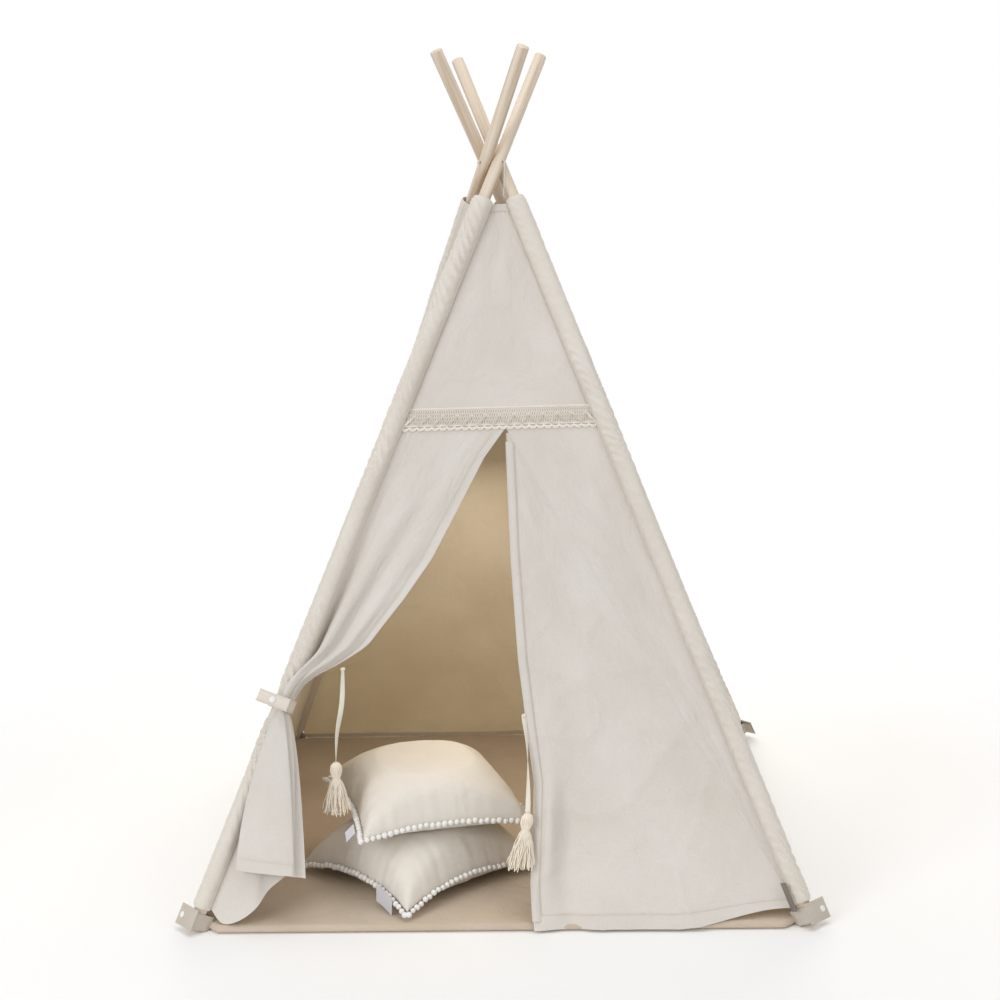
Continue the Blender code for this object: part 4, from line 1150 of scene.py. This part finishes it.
def strap_piece(name, points, width, width_way, body, node, stitched, mat=STRAP_CANVAS):
    """A doubled canvas strap swept along a path, stitched inside both long edges."""
    piece = sweep(name, points, strap_outline(width, HALF_STRAP * 2), mat, width_way)
    for vert in piece.data.vertices:
        vert.co.z = max(vert.co.z, CLEAR)
    if stitched:
        across = width_way.normalized()
        rows = []
        for side, face in ((-1, -1), (-1, 1), (1, -1), (1, 1)):
            aside = across * (side * (width / 2 - 0.0028))
            rows.append([
                here + aside + across.cross((after - before).normalized()) * (face * 0.0009)
                for before, here, after in zip(points[:1] + points, points,
                                               points[1:] + points[-1:])
            ])
        piece = join(name, [piece, sew(name + "_sewn", rows, 0.0030)])
    own(piece, node, body)


def plane_of(origin, way, out):
    """Points and smooth paths in the plane of two ways."""

    def placed(x, y):
        return origin + way * x + out * y

    def path(*points):
        return smooth_route([placed(*point) for point in points], 0.0015)

    return placed, path


def tie_back():
    """Sewn at the seam, round the gathered flap, and snapped to a tab on the sleeve."""
    first = FRONT[0]
    across, normal = wall_frame(*FRONT, TIE_HEIGHT)[2:]
    way = (across - first.up * across.dot(first.up)).normalized()
    along = way.cross(normal)
    reach = sleeve_radius(TIE_HEIGHT) + CLEAR + HALF_STRAP
    side = BUNDLE_HALF + 0.0024 + 0.0032
    tongue = sleeve_radius(TIE_HEIGHT) + BUNDLE_ROOM + BUNDLE_DEPTH + 0.0036 + 0.0016
    leaf = tongue + HALF_STRAP + LEAF_GAP + HALF_STRAP
    left = -reach - CLEAR
    snap_x = left + 0.0079
    placed, path = plane_of(first.at(TIE_HEIGHT), way, normal)
    band = path((0.0064, -reach - 0.0016), (0.015, -reach - 0.0008), (side - 0.002, -reach + 0.004),
                (side, -reach + 0.012), (side, leaf * 0.5), (side, leaf - 0.0026))
    strap_piece("tieback_strap", band, TIE_WIDTH, along, "front_left_leg", "tieback_band", True)
    tab = path((left, 0), (left, tongue * 0.5), (left, tongue - 0.004),
               (left + 0.003, tongue - 0.0004), (left + 0.006, tongue),
               (snap_x + 0.0048, tongue))
    strap_piece("tieback_sleeve_tab", tab, TIE_WIDTH, along, "front_left_leg", "tieback_tab",
                False)
    front = path((side, leaf), (side * 0.5, leaf + 0.0006), (0, leaf + 0.0003), (snap_x, leaf),
                 (snap_x - 0.015, leaf + 0.0004), (snap_x - 0.030, leaf - 0.0006))
    strap_piece("tieback_front", front, TIE_WIDTH, along, "tie_leaf", "tieback_leaf", True)
    snap("tieback_cap", placed(snap_x, leaf + HALF_STRAP + CLEAR), normal, way, CAP_SIZE,
         "tie_leaf", "tieback_snap_cap")
    snap("tieback_stud", placed(snap_x, tongue + HALF_STRAP + CLEAR), normal, way, STUD_SIZE,
         "front_left_leg", "tieback_snap_stud")


tie_back()


def corner(place, pole, side):
    """The mat's corner strap: sewn across the cut corner, round the foot and snapped shut."""
    way = pole.lateral * side
    third = pole.out.cross(way)
    middle = pole.foot + pole.up * 0.024
    leg = POLE_RADIUS + 0.0006 + HALF_STRAP
    web = -(MAT_CORNER - CLEAR - HALF_STRAP)
    reach = 0.0120
    leaf = reach + HALF_STRAP + LEAF_GAP + HALF_STRAP
    path = plane_of(middle, pole.out, way)[1]
    loop = path(
        (leaf - 0.0011, -leg), (0, -leg), (web + 0.005, -leg), (web + 0.001, -leg + 0.003),
        (web, -leg + 0.007), (web, 0), (web, leg - 0.007), (web + 0.001, leg - 0.003),
        (web + 0.005, leg), (0, leg), (reach - 0.004, leg), (reach - 0.0006, leg + 0.002),
        (reach, leg + 0.005), (reach, 0.0364),
    )
    # The corner strap and its leaf use the darker strap canvas, which is painted shade.
    strap_piece("mat_strap_" + place, loop, 0.0300, third, "mat", "corner_strap_" + place,
                False, CORNER_STRAP_SHADED_CANVAS)
    front = path((leaf, -0.0170), (leaf + 0.0005, 0), (leaf, 0.012), (leaf, 0.038))
    strap_piece("mat_strap_leaf_" + place, front, 0.040, third, place + "_snap_leaf",
                "corner_leaf_" + place, True, CORNER_STRAP_SHADED_CANVAS)
    centre = middle + way * (POLE_RADIUS + 0.012)
    for kind, out, size, body in (("cap", leaf, CAP_SIZE, place + "_snap_leaf"),
                                  ("stud", reach, STUD_SIZE, "mat")):
        snap("mat_snap_" + kind + "_" + place, centre + pole.out * (out + HALF_STRAP + CLEAR),
             pole.out, way, size, body, "corner_" + place + "_snap_" + kind)


for place, pole in POLES.items():
    corner(place, pole, -1 if place in ("front_left", "back_right") else 1)


# The floor mat

def mat():
    """A thin quilted pad: soft puckers along its bound border, a flat underside."""
    count = 110
    reach = MAT_HALF - 0.0004
    spread = [math.sin(math.pi / 2 * at) * 0.65 + at * 0.35 for at in steps(count, -1, 1)]

    def half_width(y):
        return min(MAT_HALF, MAT_HALF * 2 - MAT_CUT - abs(y)) - 0.0004

    def edge_of(x, y):
        return min(half_width(y) - abs(x), MAT_HALF - abs(y))

    def top(i, j):
        y = spread[j] * reach
        x = spread[i] * half_width(y)
        edge = edge_of(x, y)
        rounding = 1 - smoothstep(0, 0.010, edge)
        pad = 0.0010 * ripple(x * 6, y * 6, 1.0) - 0.0012 * math.exp(-((edge - 0.016) / 0.003) ** 2)
        pad += 0.0005 * crease(x * 7, y * 7, 3.0)
        return Vector((x, y, MAT_THICK - 0.0004 + min(pad, 0) - 0.0075 * rounding ** 2))

    def under(i, j):
        point = top(i, j)
        edge = edge_of(point.x, point.y)
        point.z = 0.0003 + 0.0050 * (1 - smoothstep(0, 0.008, edge)) ** 2
        return point

    bm = bmesh.new()
    layer = bm.loops.layers.uv.new("cloth")
    for surface, order in ((top, 1), (under, -1)):
        rows = [[bm.verts.new(surface(i, j)) for i in range(count + 1)] for j in range(count + 1)]
        for j in range(count):
            for i in range(count):
                ring = [rows[j][i], rows[j][i + 1], rows[j + 1][i + 1], rows[j + 1][i]]
                bm.faces.new(ring[::order])
    bmesh.ops.bridge_loops(bm, edges=[edge for edge in bm.edges if edge.is_boundary])
    bmesh.ops.recalc_face_normals(bm, faces=bm.faces)
    for face in bm.faces:
        for loop in face.loops:
            loop[layer].uv = (loop.vert.co.x, loop.vert.co.y + loop.vert.co.z)
    pad = built("mat_pad", bm, MAT_CANVAS)
    inset = 0.016
    far = MAT_HALF - inset
    near = MAT_HALF * 2 - MAT_CUT - inset - far
    ring = [(-near, -far), (near, -far), (far, -near), (far, near), (near, far), (-near, far),
            (-far, near), (-far, -near), (-near, -far)]
    row = []
    for a, b in zip(ring, ring[1:]):
        a, b = Vector(a), Vector(b)
        parts = max(2, round((b - a).length / 0.02))
        row += [Vector((*a.lerp(b, share), MAT_THICK - 0.0012)) for share in steps(parts)]
    item = join("mat_pad", [pad, sew("mat_sewn", [row], 0.0045)])
    own(item, "floor_mat", "mat")


mat()


# Cushions and their pompoms

def cushion_edge(share):
    return CUSHION_HALF - CUSHION_DRAW * (1 - share * share)


def pillow_mesh(name, shape, ends):
    """A pillow of two crowned faces that meet in the seam, as the solid has them."""
    (place_x, place_y), turn, tilt, seam, seam_rise = shape
    spin = Matrix.Rotation(math.radians(turn), 3, "Z")
    cells = 56
    bm = bmesh.new()
    rows = {}
    for layer, target in zip((1, -1), ends):
        for i in range(cells + 1):
            for j in range(cells + 1):
                if layer < 0 and (i in (0, cells) or j in (0, cells)):
                    rows[layer, i, j] = rows[1, i, j]
                    continue
                across, along = i / cells * 2 - 1, j / cells * 2 - 1
                crown = ((1 - across ** 2) * (1 - along ** 2)) ** CROWN_POWER
                height = seam + seam_rise * (1 - across ** 2 * along ** 2)
                height += (target - height) * min(1.0, crown * CROWN_FLAT_RATE)
                flat = Vector((across * cushion_edge(along), along * cushion_edge(across), 0))
                height += flat.x * tilt[0] + flat.y * tilt[1]
                flat = spin @ flat
                rows[layer, i, j] = bm.verts.new((place_x + flat.x, place_y + flat.y, height))
        for i in range(cells):
            for j in range(cells):
                ring = [rows[layer, i + a, j + b] for a, b in ((0, 0), (1, 0), (1, 1), (0, 1))]
                bm.faces.new(ring[::layer])
    bmesh.ops.recalc_face_normals(bm, faces=bm.faces)
    return built(name, bm, CUSHION_COTTON)


def blow_up(item):
    """Twenty frames of cloth under a little pressure."""
    cloth = item.modifiers.new("cloth", "CLOTH")
    setup = cloth.settings
    setup.quality = 5
    setup.use_pressure = True
    setup.uniform_pressure_force = 4
    setup.effector_weights.gravity = 0
    setup.tension_stiffness = 20
    setup.compression_stiffness = 20
    setup.bending_stiffness = 0.4
    cloth.point_cache.frame_start = 1
    cloth.point_cache.frame_end = 20
    scene = bpy.context.scene
    for frame_number in range(1, 21):
        scene.frame_set(frame_number)
    plain(item)
    scene.frame_set(1)


def soft_cushion(name, node, body, shape, ends, seed):
    """A pillow from the solid's own crown, blown up a little, puckered along its seams."""
    item = pillow_mesh(name, shape, ends)
    rest = [vert.co.copy() for vert in item.data.vertices]
    blow_up(item)
    unturned = Matrix.Rotation(-math.radians(shape[1]), 3, "Z")
    middle = Vector((*shape[0], 0))
    stacked = Vector((*UPPER[0], 0))
    for vert, before in zip(item.data.vertices, rest):
        cap = 0.0045 if vert.normal.z > -0.1 else 0.0004
        if body == "lower_cushion":
            cap *= smoothstep(0.06, 0.15, (vert.co - stacked).xy.length)
        shift = vert.co - before
        if shift.length > cap:
            vert.co = before + shift * (cap / shift.length)
        local = unturned @ (vert.co - middle)
        run = local.y if abs(local.x) > abs(local.y) else local.x
        inside = max(CUSHION_HALF - max(abs(local.x), abs(local.y)), 0)
        near = math.exp(-inside / 0.045) * smoothstep(0.0, 0.012, inside)
        pucker = 0.0040 * near * ripple(run * 62, inside * 9 + run * 3, seed)
        pucker += 0.0016 * near * ripple(run * 120, inside * 14, seed + 4)
        soft = 0.0012 * crease(vert.co.x * 7, vert.co.y * 7, seed)
        vert.co -= vert.normal * (pucker + soft * (1 - near))
    smooth = item.modifiers.new("smooth", "SUBSURF")
    smooth.levels = 1
    smooth.render_levels = 1
    mesh = plain(item)
    layer = mesh.uv_layers.new(name="cloth")
    for loop in mesh.loops:
        point = mesh.vertices[loop.vertex_index].co
        layer.data[loop.index].uv = (point.x, point.y + point.z)
    own(item, node, body)


def seam_ring(node, shape, reach):
    """Points round a cushion's seam, a reach outside it, settled to the height of its trim."""
    (place_x, place_y), turn, tilt, seam, seam_rise = shape
    low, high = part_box(node)
    spin = Matrix.Rotation(math.radians(turn), 3, "Z")
    ring = []
    for quarter in range(4):
        quarter_turn = Matrix.Rotation(math.pi / 2 * quarter, 3, "Z")
        for aside in steps(60, -1, 1)[:-1]:
            aside *= CUSHION_HALF + reach
            along = min(abs(aside) / CUSHION_HALF, 1)
            out = quarter_turn @ Vector((cushion_edge(along) + reach, aside, 0))
            height = seam + seam_rise * (1 - along ** 2) + out.x * tilt[0] + out.y * tilt[1]
            flat = spin @ out
            ring.append(Vector((place_x + flat.x, place_y + flat.y, height)))
    settle = (low.z + high.z) / 2 - (min(p.z for p in ring) + max(p.z for p in ring)) / 2
    for point in ring:
        point.z += settle
    return ring


def pompoms(name, node, body, shape, seed):
    """Balls at even steps along the seam, each a little up or down, on a thin tape."""
    ring = seam_ring(node, shape, 0.0045)
    ring.append(ring[0])
    dice = random.Random(seed)
    lengths = [0.0]
    for a, b in zip(ring, ring[1:]):
        lengths.append(lengths[-1] + (b - a).length)
    total = lengths[-1]
    count = round(total / 0.0122)
    points = []
    for index in range(count):
        target = total * index / count
        slot = max(i for i in range(len(ring) - 1) if lengths[i] <= target)
        share = (target - lengths[slot]) / (lengths[slot + 1] - lengths[slot])
        point = ring[slot].lerp(ring[slot + 1], share)
        points.append(point + Vector((0, 0, dice.uniform(-0.0013, 0.0013))))
    item = join(name, [
        grown(name, [points], POMPOMS, {
            "Pompom radius": 0.0047, "Fuzz": 0.0016, "Seed": seed, "Yarn": POMPOM_YARN,
        }),
        strands(name + "_tape", [ring], 0.0006, 6, POMPOM_YARN),
    ])
    own(item, node, body)


soft_cushion("lower_pillow", "cushion_lower", "lower_cushion", LOWER, LOWER_ENDS, 2.0)
soft_cushion("upper_pillow", "cushion_upper", "upper_cushion", UPPER, UPPER_ENDS, 5.0)
pompoms("lower_pompoms", "pompoms_lower", "lower_cushion", LOWER, 3)
pompoms("upper_pompoms", "pompoms_upper", "upper_cushion", UPPER, 8)


# Ribbons and tassels

def tassel(name, top, lean, body, node, seed):
    """A bound head over a skirt of loose yarn ends, hanging from top."""
    dice = random.Random(seed)
    head = 0.031
    bulge = ((0, 0.25), (0.08, 0.75), (0.25, 1.25), (0.5, 1.42), (0.75, 1.2), (1.0, 0.85))
    loops = []
    for index, angle in enumerate(turns_of(30)):
        out = 0.0078 if index % 2 else 0.0068
        loops.append([top + lean * (head * share) + spoke(angle + 0.25 * share, out * wide)
                      for share, wide in bulge])
    paths = []
    for index in range(150):
        angle = 2 * math.pi * index * 0.618034
        inner = math.sqrt((index + 0.5) / 150)
        spread = 0.0265 * inner + dice.uniform(-0.002, 0.002)
        length = 0.067 + dice.uniform(-0.008, 0.004)
        sway = dice.uniform(-0.35, 0.35)
        clump = 0.10 * math.sin(angle * 9)
        path = []
        for share in steps(7):
            wide = 0.0060 * inner + (spread - 0.0060 * inner) * share ** 0.75
            turn = angle + sway * share * share + clump * share
            wave = 0.0010 * math.sin(share * 9 + index)
            path.append(top + lean * (head + length * share) + spoke(turn, wide)
                        + Vector((wave, -wave, 0)))
        paths.append(path)
    binding = [top + lean * (head - 0.004 + 0.006 * step / 150)
               + spoke(2 * math.pi * step / 25, 0.0072) for step in range(150)]
    item = join(name, [
        strands(name + "_skirt", paths, 0.00095, 5, TASSEL_YARN),
        strands(name + "_head", loops, 0.00115, 6, TASSEL_YARN),
        strands(name + "_bound", [binding], 0.0008, 6, TASSEL_YARN),
    ])
    own(item, node, body)
    return item


def ribbon(name, points, width_way, body, node, turns):
    """A flat ribbon that turns on its way down, and the knot that it hangs from."""
    first_turn, last_turn = (math.radians(turn) for turn in turns)
    item = sweep(name, points, strap_outline(0.0098, 0.0010), RIBBON, width_way,
                 (last_turn - first_turn) / path_length(points), first_turn)
    coil = [points[0] + spoke(math.radians(30 * at), 0.0030, 0.0016 - 0.00012 * at)
            for at in range(26)]
    knot = sweep(name + "_knot", coil, round_outline(0.0017, 8), RIBBON)
    own(knot, None, body)
    own(item, node, body)


def trim(side, start, head, lean, seed, bends, width_way, turns):
    """One door edge's tassel, and its ribbon through two bends."""
    body = side + "_trim"
    hung = tassel(side + "_tassel", head, Vector(lean).normalized(), body, "tassel_" + side, seed)
    path = smooth_route(
        [start] + [start.lerp(head, share) + Vector(bend) for share, bend in bends]
        + [head + Vector((0, 0, 0.0005))], 0.003,
    )
    ribbon(side + "_ribbon", path, Vector(width_way), body, "ribbon_" + side, turns)


def trims():
    low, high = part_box("tassel_left")
    ribbon_low, ribbon_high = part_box("ribbon_left")
    trim(
        "left",
        Vector((ribbon_high.x - 0.004, (ribbon_low.y + ribbon_high.y) / 2,
                ribbon_high.z - 0.002)),
        Vector(((low.x + high.x) / 2, (low.y + high.y) / 2, high.z)),
        (-0.02, 0, -1), 4, ((0.35, (0.003, -0.001, 0)), (0.7, (-0.002, 0, 0))),
        (1, 0.35, 0), (-72, 80),
    )
    low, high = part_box("tassel_right")
    ribbon_low, ribbon_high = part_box("ribbon_right")
    trim(
        "right",
        Vector(((ribbon_low.x + ribbon_high.x) / 2 - 0.002, ribbon_high.y - 0.004,
                ribbon_high.z - 0.004)),
        Vector(((low.x + high.x) / 2 + 0.004, (low.y + high.y) / 2 + 0.016, high.z - 0.001)),
        (-0.16, -0.30, -1), 9, ((0.3, (0.004, -0.002, 0)), (0.7, (0.003, -0.002, 0))),
        (1, 0.1, 0), (10, 175),
    )


trims()


# Bare cloth tags

def tag(name, corners, mat, body):
    a, b, c, d = corners

    def surface(u, v):
        curl = 0.0016 * math.sin(math.pi * u) * v
        normal = (b - a).cross(d - a).normalized()
        return a.lerp(b, u).lerp(d.lerp(c, u), v) + normal * curl

    flat = ((b - a).length, (d - a).length)
    own(cloth_grid(name, steps(10), steps(12), surface, flat, mat, 0.0006), None, body)


def tags():
    """Bare tags: one in each cushion's seam and a long one in the seam by the right sleeve."""
    for which, shape, spots, hang in (
        ("lower", LOWER, (163, 172), Vector((0, 0, -0.032))),
        ("upper", UPPER, (168, 174), Vector((-0.012, -0.020, -0.009))),
    ):
        ring = seam_ring("pompoms_" + which, shape, 0.0130)
        a, b = (ring[spot] for spot in spots)
        rise = Vector((0, 0, -hang.z * 0.35))
        out = (a - Vector((*shape[0], a.z))).normalized() * 0.003
        tag(which + "_pillow_tag", (a + rise, b + rise, b + rise + hang + out,
                                    a + rise + hang + out),
            TAG_SATIN, which + "_cushion")
    across, normal = wall_frame(*FRONT, 0.05)[2:]
    high, low = (wall_frame(*FRONT, height)[1] + normal * 0.0200 for height in (0.074, 0.026))
    tag("sleeve_tag", (high - across * 0.012, high - across * 0.001, low - across * 0.001,
                       low - across * 0.012), GREY_TAG, "front_right_leg")


tags()


# Floor and light

def lamp(name, place, aim, size, power, warmth=(1, 1, 1)):
    data = bpy.data.lights.new(name, "AREA")
    data.shape = "RECTANGLE"
    data.size, data.size_y = size
    data.energy = power
    data.color = warmth
    item = bpy.data.objects.new(name, data)
    bpy.context.scene.collection.objects.link(item)
    way = (Vector(aim) - Vector(place)).to_track_quat("-Z", "Y").to_matrix()
    item.matrix_world = Matrix.Translation(place) @ way.to_4x4()
    item.visible_camera = False


def stage():
    """A pale floor that fades into the white background away from the object."""
    floor_mat, tree, shader = start_material(
        "matte_studio_floor", Roughness=0.9, Specular_IOR_Level=0.1
    )
    place = object_place(tree)
    dye(tree, shader, cloud(tree, place, 60.0, 2.0), "FAFAFA", "FCFCFC")
    reach = put(tree, "ShaderNodeVectorMath", {0: place}, operation="LENGTH")
    fade = put(
        tree, "ShaderNodeMapRange",
        {"Value": reach.outputs["Value"], "From Min": 0.95, "From Max": 1.9},
        interpolation_type="SMOOTHSTEP",
    )
    clear = put(tree, "ShaderNodeBsdfTransparent")
    mixed = put(tree, "ShaderNodeMixShader", {0: fade, 1: shader, 2: clear})
    tree.links.new(mixed.outputs[0], tree.nodes["Material Output"].inputs["Surface"])
    bpy.ops.mesh.primitive_plane_add(size=8, location=(0, 0, -0.0005))
    floor = bpy.context.object
    floor.name = "studio_floor"
    floor.data.materials.append(floor_mat)
    lamp("key_softbox", (-2.8, -3.6, 2.0), (0, 0, 0.6), (2.4, 2.2), 66)
    lamp("fill_softbox", (3.0, -3.2, 1.6), (0, 0, 0.5), (2.2, 2.2), 18)
    lamp("top_softbox", (0.2, -0.4, 4.6), (0, 0, 0), (3.6, 3.6), 66)
    lamp("back_softbox", (0.2, 3.2, 1.8), (0, 0, 0.6), (3.0, 2.4), 64, (1.0, 0.92, 0.80))
    lamp("inside_softbox", (0.0, -0.08, 0.66), (0, 0.12, 0), (0.50, 0.50), 1.7,
         (1.0, 0.87, 0.69))
    world = bpy.data.worlds.new("white_studio")
    bpy.context.scene.world = world
    world.use_nodes = True
    tree = world.node_tree
    tree.nodes.clear()
    rays = put(tree, "ShaderNodeLightPath").outputs
    either = put(tree, "ShaderNodeMath",
                 {0: rays["Is Camera Ray"], 1: rays["Is Transmission Ray"]}, operation="MAXIMUM")
    room = put(tree, "ShaderNodeBackground", {"Color": (1.0, 0.99, 0.98, 1), "Strength": 0.50})
    white = put(tree, "ShaderNodeBackground", {"Color": (1, 1, 1, 1), "Strength": 1.0})
    mixed = put(tree, "ShaderNodeMixShader", {0: either, 1: room, 2: white})
    put(tree, "ShaderNodeOutputWorld", {0: mixed})
    bpy.context.scene.view_settings.view_transform = "Standard"


stage()
